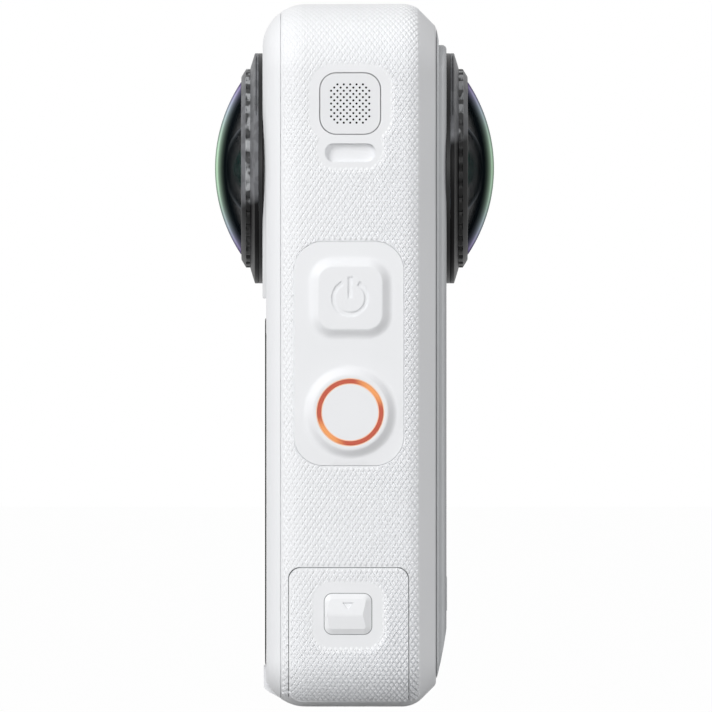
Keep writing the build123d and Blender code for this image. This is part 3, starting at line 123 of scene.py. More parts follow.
def add_node(
    tree: bpy.types.NodeTree,
    kind: str,
    settings: dict[str | int, object] | None = None,
    links: dict[str | int, bpy.types.NodeSocket] | None = None,
    stops: list[tuple[float, tuple[float, ...]]] | None = None,
) -> bpy.types.Node:
    """Adds a shader node with its settings and what feeds it.

    Args:
        tree: The node tree that gets the node.
        kind: The node's type name.
        settings: Values by the name or number of an input, or else by the name of a property.
        links: Sockets to link, by the name or number of the input that each one feeds.
        stops: Spots and colours of its ramp, where the node has one.

    Returns:
        The new node.
    """
    node = tree.nodes.new(kind)
    for name, value in (settings or {}).items():
        if isinstance(name, int) or name in node.inputs:
            node.inputs[name].default_value = value
        else:
            setattr(node, name, value)
    for name, socket in (links or {}).items():
        tree.links.new(socket, node.inputs[name])
    if stops:
        marks = node.color_ramp.elements
        while len(marks) < len(stops):
            marks.new(0.5)
        for mark, (spot, colour) in zip(marks, stops):
            mark.position = spot
            mark.color = colour
    return node


def blank_material(name: str) -> bpy.types.Material:
    """Makes a material with an empty node tree.

    Args:
        name: The material's name.

    Returns:
        The material.
    """
    made = bpy.data.materials.new(name)
    made.use_nodes = True
    made.node_tree.nodes.clear()
    return made


@dataclass(frozen=True)
class Finish:
    """A real material and how its surface was made.

    The grain is the size of the fine relief in millimetres and grain_height is how high it stands.
    The second colour is what the first drifts to, over the millimetres of drift; on the painted sheen
    and painted flash patterns it is the colour of the painted light instead. Lines run along the axis,
    from 0 for X to 2 for Z. The sheen share is the share of the painted sheen's colour between its
    patches.
    """

    name: str
    colour: str
    second: str
    roughness: float
    pattern: Pattern = Pattern.MOULDED
    metallic: float = 0.0
    transmission: float = 0.0
    ior: float = 1.5
    grain: float = 0.3
    grain_height: float = 0.004
    coat: float = 0.0
    gloss: float = 0.5
    drift: float = 9.0
    axis: int = 2
    sheen_share: float = 1.0

    def material(self) -> bpy.types.Material:
        """Makes this finish's nodes the first time that it is asked for.

        Returns:
            The finish as a material.
        """
        found = bpy.data.materials.get(self.name)
        if found:
            return found
        made = blank_material(self.name)
        tree = made.node_tree
        place = add_node(tree, "ShaderNodeTexCoord").outputs["Object"]
        height, marks = self._relief(tree, place)
        cloud = add_node(tree, "ShaderNodeTexNoise", {"Scale": 1 / (self.drift * MM), "Detail": 3.0},
                         {"Vector": place})
        blended = add_node(tree, "ShaderNodeMixRGB", {"blend_type": "MIX", "Color1": linear(self.colour),
                                                      "Color2": linear(self.second)},
                           {"Fac": marks if marks else cloud.outputs["Fac"]})
        spread = add_node(tree, "ShaderNodeMapRange",
                          {"To Min": self.roughness * SHINIER,
                           "To Max": min(1.0, self.roughness * DULLER)},
                          {"Value": cloud.outputs["Fac"]})
        bump = add_node(tree, "ShaderNodeBump", {"Distance": self.grain_height * MM, "Strength": 1.0},
                        {"Height": height})
        shader = add_node(
            tree,
            "ShaderNodeBsdfPrincipled",
            {"Metallic": self.metallic, "Transmission Weight": self.transmission, "Coat Weight": self.coat,
             "Specular IOR Level": self.gloss},
            {"Base Color": blended.outputs["Color"], "Roughness": spread.outputs["Result"],
             "Normal": bump.outputs["Normal"]},
        )
        if not self.metallic:
            shader.inputs["IOR"].default_value = self.ior
        add_node(tree, "ShaderNodeOutputMaterial", None, {"Surface": shader.outputs["BSDF"]})
        return made

    def _relief(
        self, tree: bpy.types.NodeTree, place: bpy.types.NodeSocket
    ) -> tuple[bpy.types.NodeSocket, bpy.types.NodeSocket | None]:
        """Adds the nodes of the surface's fine relief.

        Args:
            tree: The material's node tree.
            place: The Object coordinates.

        Returns:
            The height, and the share of the second colour where the pattern sets it.
        """
        scale = 1 / (self.grain * MM)
        if self.pattern in (Pattern.BRUSHED, Pattern.TURNED):
            stretch = [scale, scale, scale]
            stretch[self.axis] = scale / LINE_STRETCH
            drawn_out = add_node(tree, "ShaderNodeMapping", {"Scale": stretch}, {"Vector": place})
            lines = add_node(tree, "ShaderNodeTexNoise", {"Scale": 1.0, "Detail": 2.0},
                             {"Vector": drawn_out.outputs["Vector"]})
            return lines.outputs["Fac"], None
        if self.pattern is Pattern.WOVEN:
            warp, weft = (
                add_node(tree, "ShaderNodeTexWave", {"Scale": scale / WAVE_SHARE, "bands_direction": way},
                         {"Vector": place})
                for way in "XZ"
            )
            woven = add_node(tree, "ShaderNodeMath", {"operation": "MAXIMUM"},
                             {0: warp.outputs["Fac"], 1: weft.outputs["Fac"]})
            return woven.outputs["Value"], woven.outputs["Value"]
        if self.pattern is Pattern.LAMINATE:
            cells = add_node(tree, "ShaderNodeTexVoronoi", {"Scale": scale, "distance": "CHEBYCHEV"},
                             {"Vector": place})
            tracks = add_node(tree, "ShaderNodeMapRange", {"From Min": 0.35, "From Max": 0.45},
                              {"Value": cells.outputs["Distance"]})
            return tracks.outputs["Result"], tracks.outputs["Result"]
        grain = add_node(tree, "ShaderNodeTexNoise", {"Scale": scale, "Detail": 2.0, "Roughness": 0.6},
                         {"Vector": place})
        # A painted sheen: lighter on the upper side, in patches
        if self.pattern is Pattern.RUBBED:
            return grain.outputs["Fac"], self._painted_sheen(tree, place)
        # A painted highlight on one diagonal
        if self.pattern is Pattern.SPUN:
            return grain.outputs["Fac"], self._painted_highlight(tree, place)
        return grain.outputs["Fac"], None

    def _painted_highlight(self, tree: bpy.types.NodeTree, place: bpy.types.NodeSocket) -> bpy.types.NodeSocket:
        """Adds the nodes of a painted highlight on the rising diagonal of the record ring.

        Args:
            tree: The material's node tree.
            place: The Object coordinates.

        Returns:
            The share of the second colour, the painted highlight.
        """
        centred = add_node(tree, "ShaderNodeVectorMath", {"operation": "SUBTRACT", 1: RING_CENTRE},
                           {0: place})
        parts = add_node(tree, "ShaderNodeSeparateXYZ", None, {"Vector": centred.outputs["Vector"]})
        product = add_node(tree, "ShaderNodeMath", {"operation": "MULTIPLY"},
                           {0: parts.outputs["X"], 1: parts.outputs["Z"]})
        painted_highlight = add_node(tree, "ShaderNodeMapRange",
                         {"From Min": 0.2 * FLASH_PRODUCT, "From Max": FLASH_PRODUCT,
                          "interpolation_type": "SMOOTHSTEP"},
                         {"Value": product.outputs["Value"]})
        return painted_highlight.outputs["Result"]

    def _painted_sheen(self, tree: bpy.types.NodeTree, place: bpy.types.NodeSocket) -> bpy.types.NodeSocket:
        """Adds the nodes of a painted sheen, a painted reflection that lightens the upper side of a lens
        ring in patches.

        Args:
            tree: The material's node tree.
            place: The Object coordinates.

        Returns:
            The share of the second colour, the painted sheen.
        """
        parts = add_node(tree, "ShaderNodeSeparateXYZ", None, {"Vector": place})
        level = add_node(tree, "ShaderNodeMath", {"operation": "MULTIPLY_ADD", 1: SHEEN_LEAN},
                         {0: parts.outputs["X"], 2: parts.outputs["Z"]})
        upper = add_node(tree, "ShaderNodeMapRange",
                         {"From Min": SHEEN_LOW_Z, "From Max": SHEEN_HIGH_Z},
                         {"Value": level.outputs["Value"]})
        gentle = add_node(tree, "ShaderNodeMapRange",
                          {"From Min": SHEEN_SOFT_Z[0], "From Max": SHEEN_SOFT_Z[1]},
                          {"Value": level.outputs["Value"]})
        away = add_node(tree, "ShaderNodeMapRange",
                        {"From Min": SHEEN_SOFT_Y[0], "From Max": SHEEN_SOFT_Y[1]},
                        {"Value": parts.outputs["Y"]})
        fading = add_node(tree, "ShaderNodeMix", None,
                          {"Factor": away.outputs["Result"], "A": upper.outputs["Result"],
                           "B": gentle.outputs["Result"]})
        cloud = add_node(tree, "ShaderNodeTexNoise", {"Scale": 1 / SHEEN_PATCH, "Detail": 1.0},
                         {"Vector": place})
        patches = add_node(tree, "ShaderNodeMapRange",
                           {"From Min": 0.46, "From Max": 0.56, "To Min": self.sheen_share},
                           {"Value": cloud.outputs["Fac"]})
        painted_sheen = add_node(tree, "ShaderNodeMath", {"operation": "MULTIPLY"},
                        {0: fading.outputs["Result"], 1: patches.outputs["Result"]})
        return painted_sheen.outputs["Value"]


@dataclass(frozen=True)
class CoatedGlass:
    """Coated glass, clear face on and tinted by how far edge on it is seen.

    The bands are the painted reflection's colours by height from the middle of the lens, from 0 to 1.
    The edges and the cover are the share of that colour and how opaque the glass is, by how far edge on
    it is seen. The glow makes that colour glow as well, a painted highlight.
    """

    name: str
    face: str = "0C1114"
    bands: tuple[tuple[float, str], ...] = (
        (0.0, "BFE0C2"), (0.22, "BFE0C5"), (0.44, "B4CDBE"), (0.67, "B2C0CA"), (0.85, "A6A2C4"),
        (1.0, "7C6A98"))
    edges: tuple[tuple[float, float], ...] = (
        (0.66, 0.0), (0.71, 0.06), (0.73, 0.12), (0.755, 0.22), (0.78, 0.34), (0.805, 0.55), (0.835, 1.0),
        (0.88, 0.7), (0.93, 0.35))
    cover: tuple[tuple[float, float], ...] = (
        (0.0, 0.12), (0.42, 0.42), (0.6, 0.62), (0.66, 0.75), (0.72, 1.0))
    # Strength of the painted glow of the painted colour
    glow: float = 0.0
    half_height: float = 14.0
    middle_z: float = 87.3

    def material(self) -> bpy.types.Material:
        """Makes this glass's nodes the first time that it is asked for.

        Returns:
            The glass as a material.
        """
        found = bpy.data.materials.get(self.name)
        if found:
            return found
        made = blank_material(self.name)
        tree = made.node_tree
        place = add_node(tree, "ShaderNodeTexCoord").outputs["Object"]
        parts = add_node(tree, "ShaderNodeSeparateXYZ", None, {"Vector": place})
        low, high = (self.middle_z - self.half_height) * MM, (self.middle_z + self.half_height) * MM
        centred = add_node(tree, "ShaderNodeMapRange",
                           {"From Min": low, "From Max": high, "To Min": -1.0, "To Max": 1.0},
                           {"Value": parts.outputs["Z"]})
        height = add_node(tree, "ShaderNodeMath", {"operation": "ABSOLUTE"},
                          {0: centred.outputs["Result"]}).outputs["Value"]
        facing = add_node(tree, "ShaderNodeLayerWeight", {"Blend": 0.5}).outputs["Facing"]
        bands = [(spot, linear(colour)) for spot, colour in self.bands]
        edges, covers = ([(spot, (share, share, share, 1.0)) for spot, share in shares]
                         for shares in (self.edges, self.cover))
        band, edge, cover = (
            add_node(tree, "ShaderNodeValToRGB", None, {"Fac": value}, stops).outputs["Color"]
            for value, stops in ((height, bands), (facing, edges), (facing, covers))
        )
        # Painted reflection: near black face on, the band's colour edge on
        tint = add_node(tree, "ShaderNodeMixRGB", {"Color1": linear(self.face)},
                        {"Fac": edge, "Color2": band})
        shader = add_node(tree, "ShaderNodeBsdfPrincipled",
                          {"Roughness": 0.1, "Specular IOR Level": 0.0, "Emission Strength": self.glow},
                          {"Base Color": tint.outputs["Color"], "Alpha": cover})
        # Painted glow: the painted colour is also emitted
        if self.glow:
            tree.links.new(tint.outputs["Color"], shader.inputs["Emission Color"])
        add_node(tree, "ShaderNodeOutputMaterial", None, {"Surface": shader.outputs["BSDF"]})
        return made


# White ABS, spark-eroded mould: a matt shell with a fine even grain
WHITE_SHELL = Finish("white_abs_spark_grain", "EBECEE", "E7E8EA", 0.5, grain=0.32, grain_height=0.014)
# The same ABS where the mould is smoother, as on the covers
WHITE_COVER = Finish("white_abs_satin", "EDEEF0", "EAEBED", 0.42, grain=0.4, grain_height=0.003)
# The microphone cap, a shade darker beside the shell
WHITE_CAP = Finish("white_abs_fine_grain", "E6E7E9", "E3E4E6", 0.45, grain=0.3, grain_height=0.004)
# The front cover: the same white ABS, a shade greyer as painted shade of its side turned from the light
FRONT_COVER_PAINTED_SHADE = Finish("white_abs_satin_painted_shade", "B8BABC", "B4B6B8", 0.45, grain=0.3, grain_height=0.01)
# Grip diamonds, moulded in one with the shell and left sharper by the etched mould
WHITE_GRIP = Finish("white_abs_etched_grip", "EFF0F2", "ECEDEF", 0.46, grain=0.25, grain_height=0.003)
# Soft-touch silicone: no gloss, a hint warmer than the shell
WHITE_SILICONE = Finish("white_silicone_soft_touch", "ECEDEF", "EAEBED", 0.62, grain=0.22,
                        grain_height=0.002)
# Dyed orange acrylic light ring, with a painted highlight on its rising diagonal
ORANGE_RING = Finish("orange_acrylic_light_ring", "BE4214", "F29A4C", 0.3, Pattern.SPUN, grain=1.4,
                     grain_height=0.001)
# Silicone along the light ring, with a painted peach glow from the ring
SILICONE_PAINTED_GLOW = Finish("silicone_painted_ring_glow", "FFD3B4", "FFCBA6", 0.6, grain=0.22, grain_height=0.002)
# Glass-filled nylon, moulded black and finely etched: grey sheen on its edges
BLACK_RING = Finish("black_nylon_etched", "161718", "101112", 0.4, grain=0.25, grain_height=0.006,
                    gloss=0.3)
# The guard's ring: the same nylon, with a painted sheen on its upper side, a painted reflection of the light
# from above
RING_WITH_PAINTED_SHEEN = Finish("black_nylon_painted_sheen", "050506", "727376", 0.4, Pattern.RUBBED, grain=0.35,
                    grain_height=0.006, gloss=0.12, sheen_share=0.75)
# Its grip, with painted highlights in patches on the upper side
RING_GRIP_PAINTED_HIGHLIGHTS = Finish("black_nylon_grip_painted_highlights", "060607", "A2A4A6", 0.4, Pattern.RUBBED, grain=0.4,
                   grain_height=0.012, gloss=0.25, sheen_share=0.12)
# Flocked-looking black paint that swallows stray light inside a lens
BLACK_BAFFLE = Finish("black_baffle_paint", "0C0C0E", "09090A", 0.75, grain=0.2, grain_height=0.01)
# Coated optical glass: clear, with a faint cold tint
INNER_GLASS = Finish("inner_lens_glass", "AFC4D0", "A0B4C4", 0.03, Pattern.POLISHED, transmission=1.0,
                     grain=6.0, grain_height=0.0001)
# Guard glass: dark and clear face on, with a painted green to violet reflection where it is seen edge on and
# a faint painted glow there
GUARD_PAINTED_REFLECTION = CoatedGlass("guard_glass_painted_reflection", glow=0.3)
# Its inner face, uncoated: clear face on, and painted black where it is seen edge on, as painted shade of
# the lens's dark inside
GUARD_INNER_PAINTED_SHADE = CoatedGlass("guard_glass_inner_painted_shade", "0A0D0F", ((0.0, "0C1012"), (1.0, "100E14")),
                           ((0.5, 0.0), (1.0, 1.0)), ((0.0, 0.03), (0.45, 0.2), (0.62, 0.5), (0.75, 1.0)))
# Thin uncoated glass with painted highlights at its edges, which glow
SHELL_GLASS = CoatedGlass("front_element_glass", "060809", ((0.0, "A9B0B3"), (1.0, "84848E")),
                          ((0.74, 0.0), (0.83, 1.0)), ((0.0, 0.1), (0.7, 0.3), (0.8, 1.0)), glow=0.5)
# The dark glass of the pupil, with a green coating that drifts over it
PUPIL_GLASS = Finish("pupil_black_glass", "16221F", "2E8B7A", 0.06, Pattern.POLISHED, grain=2.0,
                     grain_height=0.02, drift=1.2, coat=1.0)
# Strengthened cover glass over a black mask
SCREEN_GLASS = Finish("black_backed_cover_glass", "060607", "08080A", 0.06, Pattern.POLISHED,
                      grain=8.0, grain_height=0.0002, gloss=0.35)
# The display's panel, switched off: dark and half matt
DISPLAY = Finish("display_panel", "101114", "0C0D10", 0.25, grain=0.3)
# Frosted polycarbonate: pale and even, with a soft shine
STATUS_LENS = Finish("frosted_polycarbonate_lens", "D5D8DA", "C8CBCE", 0.35, grain=0.5)
# Grey paint for the gaps round the battery cap and the latch: painted shade, matt and soft at its edge
SEAM_PAINTED_SHADE = Finish("grey_painted_seam_shade", "8C8E90", "858789", 0.7, grain=0.2)
# Black silicone rubber, moulded: dull all over
SEAL_RUBBER = Finish("black_silicone_seal", "1A1B1C", "151617", 0.7, grain=0.2)
# Steel cloth behind the microphone holes, nearly black as painted shade in the holes, with the weave just
# showing
MESH_PAINTED_SHADE = Finish("woven_mesh_painted_shade", "050506", "0E0E0F", 0.6, Pattern.WOVEN, metallic=0.2,
                    grain=0.12, gloss=0.2)
# Glass laminate under green solder mask, whose tracks show paler
BOARD = Finish("solder_masked_laminate", "0F3B26", "2C6B45", 0.4, Pattern.LAMINATE, grain=1.6)
# Drawn steel under nickel: bright, with fine lines
PLATED_STEEL = Finish("nickel_plated_steel", "B9BABD", "A9AAAD", 0.3, Pattern.BRUSHED, metallic=1.0,
                      grain=0.15)
# Die-cast magnesium: a dull grey metal skin
MAGNESIUM = Finish("cast_magnesium", "9A9C9F", "8E9093", 0.5, metallic=0.9, grain=0.5, grain_height=0.02)
# Rolled aluminium sheet: pale, with the lines of the rollers
SPREADER = Finish("rolled_aluminium", "C4C6C8", "B8BABC", 0.35, Pattern.BRUSHED, metallic=1.0, grain=0.2)
# Turned stainless steel, with the tool's fine lines
TURNED_STEEL = Finish("turned_stainless_steel", "A7A9AC", "97999C", 0.28, Pattern.TURNED, metallic=1.0,
                      grain=0.2)
# Black nylon from an untreated mould: dull and slightly grained
INNER_PLASTIC = Finish("black_moulded_nylon", "232426", "1D1E20", 0.5, grain=0.4, grain_height=0.01)
# Shrunk PVC sleeve: dark, smooth and slightly wavy
BATTERY_WRAP = Finish("battery_shrink_wrap", "3A3C40", "323438", 0.4, grain=1.5, grain_height=0.01)
# Gold over nickel: warm and bright, with fine lines
CONTACT_GOLD = Finish("gold_plated_contact", "D9B45C", "CFA648", 0.25, Pattern.BRUSHED, metallic=1.0,
                      grain=0.1)

INNER_FINISHES = {
    "display_module": DISPLAY,
    "inner_chassis": MAGNESIUM,
    "chassis_screws": PLATED_STEEL,
    "tripod_insert": TURNED_STEEL,
    "lens_screws": PLATED_STEEL,
    # The mesh's near-black is painted shade in the microphone holes
    "mic_mesh": MESH_PAINTED_SHADE,
    "microphone": BOARD,
    "button_board": BOARD,
    "dome_switches": PLATED_STEEL,
    "cap_liner": INNER_PLASTIC,
    "battery_cell": BATTERY_WRAP,
    "latch_spring": PLATED_STEEL,
    "battery_bay": INNER_PLASTIC,
    "battery_contacts": CONTACT_GOLD,
    "port_pin": PLATED_STEEL,
    "port_bezel": INNER_PLASTIC,
    "main_board": BOARD,
    "board_screws": PLATED_STEEL,
    "board_shield": PLATED_STEEL,
    "heat_spreader": SPREADER,
    "usb_socket": PLATED_STEEL,
    "card_slot": PLATED_STEEL,
    "memory_card": INNER_PLASTIC,
    "speaker": INNER_PLASTIC,
    "front_sensor_board": BOARD,
    "rear_sensor_board": BOARD,
}


def only(piece: bpy.types.Object) -> None:
    """Selects one object alone and makes it active.

    Args:
        piece: The object.
    """
    bpy.ops.object.select_all(action="DESELECT")
    piece.select_set(True)
    bpy.context.view_layer.objects.active = piece


def start_primitive() -> None:
    """Clears the selection before a primitive is added."""
    bpy.ops.object.select_all(action="DESELECT")


def new_object(name: str, data: bpy.types.ID) -> bpy.types.Object:
    """Makes an object for a mesh, curve, camera or lamp and links it to the scene.

    Args:
        name: The object's name.
        data: What it holds.

    Returns:
        The object.
    """
    made = bpy.data.objects.new(name, data)
    bpy.context.scene.collection.objects.link(made)
    return made


def edit_selected(piece: bpy.types.Object) -> None:
    """Enters edit mode on one object and keeps what is selected in its mesh."""
    only(piece)
    bpy.ops.object.mode_set(mode="EDIT")


def edit(piece: bpy.types.Object) -> None:
    """Enters edit mode on one object with nothing in its mesh selected.

    Args:
        piece: The mesh object.
    """
    edit_selected(piece)
    bpy.ops.mesh.select_mode(type="FACE")
    bpy.ops.mesh.select_all(action="DESELECT")


def leave() -> None:
    """Goes back to object mode."""
    bpy.ops.object.mode_set(mode="OBJECT")


def face_out() -> None:
    """Turns every face of the mesh in edit mode outwards and goes back to object mode."""
    bpy.ops.mesh.select_all(action="SELECT")
    bpy.ops.mesh.normals_make_consistent(inside=False)
    leave()


def weld(near: float = SAME_PLACE) -> None:
    """Merges all corners of the mesh in edit mode that lie nearer than this, in metres."""
    bpy.ops.mesh.select_all(action="SELECT")
    bpy.ops.mesh.remove_doubles(threshold=near)


def inset_steps(
    steps: Sequence[tuple[float, float]], width: float = MM, height: float = MM
) -> None:
    """Insets the selected face step by step.

    Args:
        steps: How far in and how far up each step goes.
        width: The measure of one unit in, in metres.
        height: The measure of one unit up, in metres.
    """
    for step_in, step_up in steps:
        bpy.ops.mesh.inset(thickness=step_in * width, depth=step_up * height, use_even_offset=True)


def mesh_piece(name: str, points: np.ndarray, faces: list[Sequence[int]]) -> bpy.types.Object:
    """Makes a piece of corners and faces and leaves all of it selected in edit mode.

    Args:
        name: The new piece's name.
        points: Its corners, in metres.
        faces: The numbers of each face's corners.

    Returns:
        The piece.
    """
    mesh = bpy.data.meshes.new(name)
    mesh.from_pydata(points.reshape(-1, 3).tolist(), [], faces)
    piece = new_object(name, mesh)
    edit(piece)
    bpy.ops.mesh.select_all(action="SELECT")
    return piece


def start_corner() -> bpy.types.Object:
    """Starts a piece as a single corner at the origin, selected in edit mode.

    Returns:
        The piece.
    """
    start_primitive()
    bpy.ops.mesh.primitive_plane_add(size=MM, location=(0, 0, 0))
    bpy.ops.object.mode_set(mode="EDIT")
    bpy.ops.mesh.select_mode(type="VERT")
    bpy.ops.mesh.select_all(action="SELECT")
    bpy.ops.mesh.merge(type="CENTER")
    return bpy.context.object


def smooth(piece: bpy.types.Object, angle: float = SHARP_ANGLE) -> None:
    """Shades a piece smooth up to an angle and lets its large faces set the normals.

    Args:
        piece: The mesh object.
        angle: Edges sharper than this stay sharp, in radians.
    """
    only(piece)
    bpy.ops.object.shade_smooth_by_angle(angle=angle, keep_sharp_edges=False)
    modifier = piece.modifiers.new("weighted", "WEIGHTED_NORMAL")
    modifier.keep_sharp = True
    bpy.ops.object.modifier_apply(modifier=modifier.name)


def settle(piece: bpy.types.Object) -> None:
    """Applies a piece's place, turn and size, so that its object sits at the origin."""
    only(piece)
    bpy.ops.object.transform_apply(location=True, rotation=True, scale=True)


def dress(piece: bpy.types.Object, finish: Finish | CoatedGlass) -> None:
    """Gives a piece one material all over."""
    piece.data.materials.clear()
    piece.data.materials.append(finish.material())


def report(piece: bpy.types.Object, body: str, slot: str, *nodes: str) -> None:
    """Hands a finished piece to the frame and logs it.

    Args:
        piece: The finished object.
        body: The CAD body that it moves with.
        slot: The record's material slot; not used.
        nodes: The CAD nodes that it stands for.
    """
    if "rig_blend" not in piece:
        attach(piece, body)
    if nodes:
        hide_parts(*nodes)
    LOG.info("%s: %d faces on %s", piece.name, len(piece.data.polygons), body)


def hand_over(
    piece: bpy.types.Object, finish: Finish | CoatedGlass, body: str, slot: str, *nodes: str
) -> None:
    """Dresses a finished piece all over, then reports it."""
    dress(piece, finish)
    report(piece, body, slot, *nodes)


def merged(node: str, name: str) -> bpy.types.Object:
    """Copies a CAD node's mesh into a new piece and merges its loose triangles.

    Args:
        node: The CAD node.
        name: The new piece's name.

    Returns:
        The merged, smooth-shaded piece.
    """
    piece = new_object(name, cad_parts[node].data.copy())
    piece.data.materials.clear()
    edit(piece)
    weld(2 * SAME_PLACE)
    leave()
    bpy.ops.mesh.customdata_custom_splitnormals_clear()
    smooth(piece)
    return piece


def turned(
    name: str, profile: list[tuple[float, float]], centre_z: float, way: int, steps: int
) -> bpy.types.Object:
    """Spins a closed profile round the lens axis.

    Args:
        name: The new piece's name.
        profile: Points of distance out along the axis and radius, in metres, in order.
        centre_z: Height of the lens axis.
        way: 1 for the front lens and -1 for the rear.
        steps: Number of steps of the full turn.

    Returns:
        The spun piece, with its normals pointing out.
    """
    piece = start_corner()
    piece.name = name
    points = [Vector((way * out, 0, centre_z + radius)) for out, radius in profile]
    bpy.ops.transform.translate(value=points[0])
    for last, point in zip(points, points[1:]):
        bpy.ops.mesh.extrude_vertices_move(TRANSFORM_OT_translate={"value": point - last})
    # A profile that starts and ends on the axis is closed by the axis itself
    if min(profile[0][1], profile[-1][1]) > 10 * SAME_PLACE:
        bpy.ops.mesh.extrude_vertices_move(TRANSFORM_OT_translate={"value": points[0] - points[-1]})
    weld()
    bpy.ops.mesh.select_all(action="SELECT")
    bpy.ops.mesh.spin(steps=steps, angle=2 * math.pi, center=(0, 0, centre_z), axis=(1, 0, 0))
    weld(10 * SAME_PLACE)
    face_out()
    return piece


@dataclass
class BodyOutline:
    """The body's section and outline, in millimetres, as laid out in the CAD frame."""

    height: float = 113.8
    half_width: float = 23.0
    top_radius: float = 11.0
    base_radius: float = 7.5
    rear_seam: float = -11.9
    rear_tangent: float = -7.9
    rear_radius: float = 7.0
    front_tangent: float = 7.736
    front_radius: float = 4.5

    def section(self, along: np.ndarray) -> tuple[np.ndarray, np.ndarray, np.ndarray]:
        """Follows the section across the band.

        Args:
            along: Distance along the section, equal to X on its flat part.

        Returns:
            X, how far the surface has dropped in, and the angle that its normal leans to +X.
        """
        back = np.clip((self.rear_tangent - along) / self.rear_radius, 0, None)
        front = np.clip((along - self.front_tangent) / self.front_radius, 0, None)
        flat = np.clip(along, self.rear_tangent, self.front_tangent)
        x = flat - self.rear_radius * np.sin(back) + self.front_radius * np.sin(front)
        drop = self.rear_radius * (1 - np.cos(back)) + self.front_radius * (1 - np.cos(front))
        return x, drop, front - back

    def along(self, x: float | np.ndarray) -> np.ndarray:
        """Finds the place on the section that lies over an X.

        Args:
            x: The X to reach.

        Returns:
            The distance along the section.
        """
        x = np.asarray(x, float)
        back = np.arcsin(np.clip((self.rear_tangent - x) / self.rear_radius, 0, 1))
        front = np.arcsin(np.clip((x - self.front_tangent) / self.front_radius, 0, 1))
        flat = np.clip(x, self.rear_tangent, self.front_tangent)
        return flat - self.rear_radius * back + self.front_radius * front

    def surface(self, along: np.ndarray, around: np.ndarray, rise: np.ndarray | float) -> np.ndarray:
        """Returns points over the body's surface.

        Args:
            along: Distance along the section of each point.
            around: Distance round the outline of each point.
            rise: Height over the surface, in millimetres.

        Returns:
            The points in metres, in an array with a last axis of three.
        """
        x, drop, lean = self.section(along)
        y, z, ny, nz = (value.reshape(x.shape) for value in self.outline(around.ravel(), drop.ravel()))
        return np.stack([x + np.sin(lean) * rise, y + ny * np.cos(lean) * rise,
                         z + nz * np.cos(lean) * rise], axis=-1) * MM

    def lengths(self) -> np.ndarray:
        """Measures the outline's eight stretches, from the foot of the -Y side.

        Returns:
            Their lengths, in order.
        """
        side = self.height - self.top_radius - self.base_radius
        top = 2 * (self.half_width - self.top_radius)
        base = 2 * (self.half_width - self.base_radius)
        quarter = math.pi / 2
        return np.array([side, quarter * self.top_radius, top, quarter * self.top_radius, side,
                         quarter * self.base_radius, base, quarter * self.base_radius])

    def outline(self, around: np.ndarray, drop: np.ndarray) -> tuple[np.ndarray, ...]:
        """Follows the outline round the body.

        Args:
            around: Distance round the outline from the foot of the -Y side, upwards.
            drop: How far the surface has dropped in there.

        Returns:
            Y, Z and the outward normal's Y and Z.
        """
        lengths = self.lengths()
        ends = np.cumsum(lengths)
        around = np.mod(around, ends[-1])
        stretch = np.minimum(np.searchsorted(ends, around, side="right"), len(ends) - 1)
        local = around - (ends - lengths)[stretch]
        w, h, rt, rb = self.half_width, self.height, self.top_radius, self.base_radius
        top_angle, base_angle = local / rt, local / rb
        one = np.ones_like(around)
        corner_top, corner_base = w - rt, w - rb
        cases = [
            (-corner_base * one, rb + local, -one, 0 * one, rb),
            (-corner_top * one, (h - rt) * one, -np.cos(top_angle), np.sin(top_angle), rt),
            (-corner_top + local, (h - rt) * one, 0 * one, one, rt),
            (corner_top * one, (h - rt) * one, np.sin(top_angle), np.cos(top_angle), rt),
            (corner_top * one, h - rt - local, one, 0 * one, rt),
            (corner_base * one, rb * one, np.cos(base_angle), -np.sin(base_angle), rb),
            (corner_base - local, rb * one, 0 * one, -one, rb),
            (-corner_base * one, rb * one, -np.sin(base_angle), -np.cos(base_angle), rb),
        ]
        y, z, ny, nz = (np.zeros_like(around) for _ in range(4))
        for number, (cy, cz, case_ny, case_nz, radius) in enumerate(cases):
            here = stretch == number
            reach = radius - drop[here]
            y[here] = cy[here] + case_ny[here] * reach
            z[here] = cz[here] + case_nz[here] * reach
            ny[here] = case_ny[here]
            nz[here] = case_nz[here]
        return y, z, ny, nz


@dataclass(frozen=True)
class Zone:
    """A rounded rectangle on a side face, in millimetres, that the grip leaves bare."""

    x: float
    z: float
    half_x: float
    half_z: float
    radius: float
    fade: float = 0.0

    def distance(self, x: np.ndarray, z: np.ndarray) -> np.ndarray:
        """Measures how far points lie from the zone's edge.

        Args:
            x: X of each point.
            z: Z of each point.

        Returns:
            The distance outside the edge, below zero inside it.
        """
        qx = np.abs(x - self.x) - self.half_x + self.radius
        qz = np.abs(z - self.z) - self.half_z + self.radius
        outside = np.hypot(np.maximum(qx, 0), np.maximum(qz, 0))
        return outside + np.minimum(np.maximum(qx, qz), 0) - self.radius


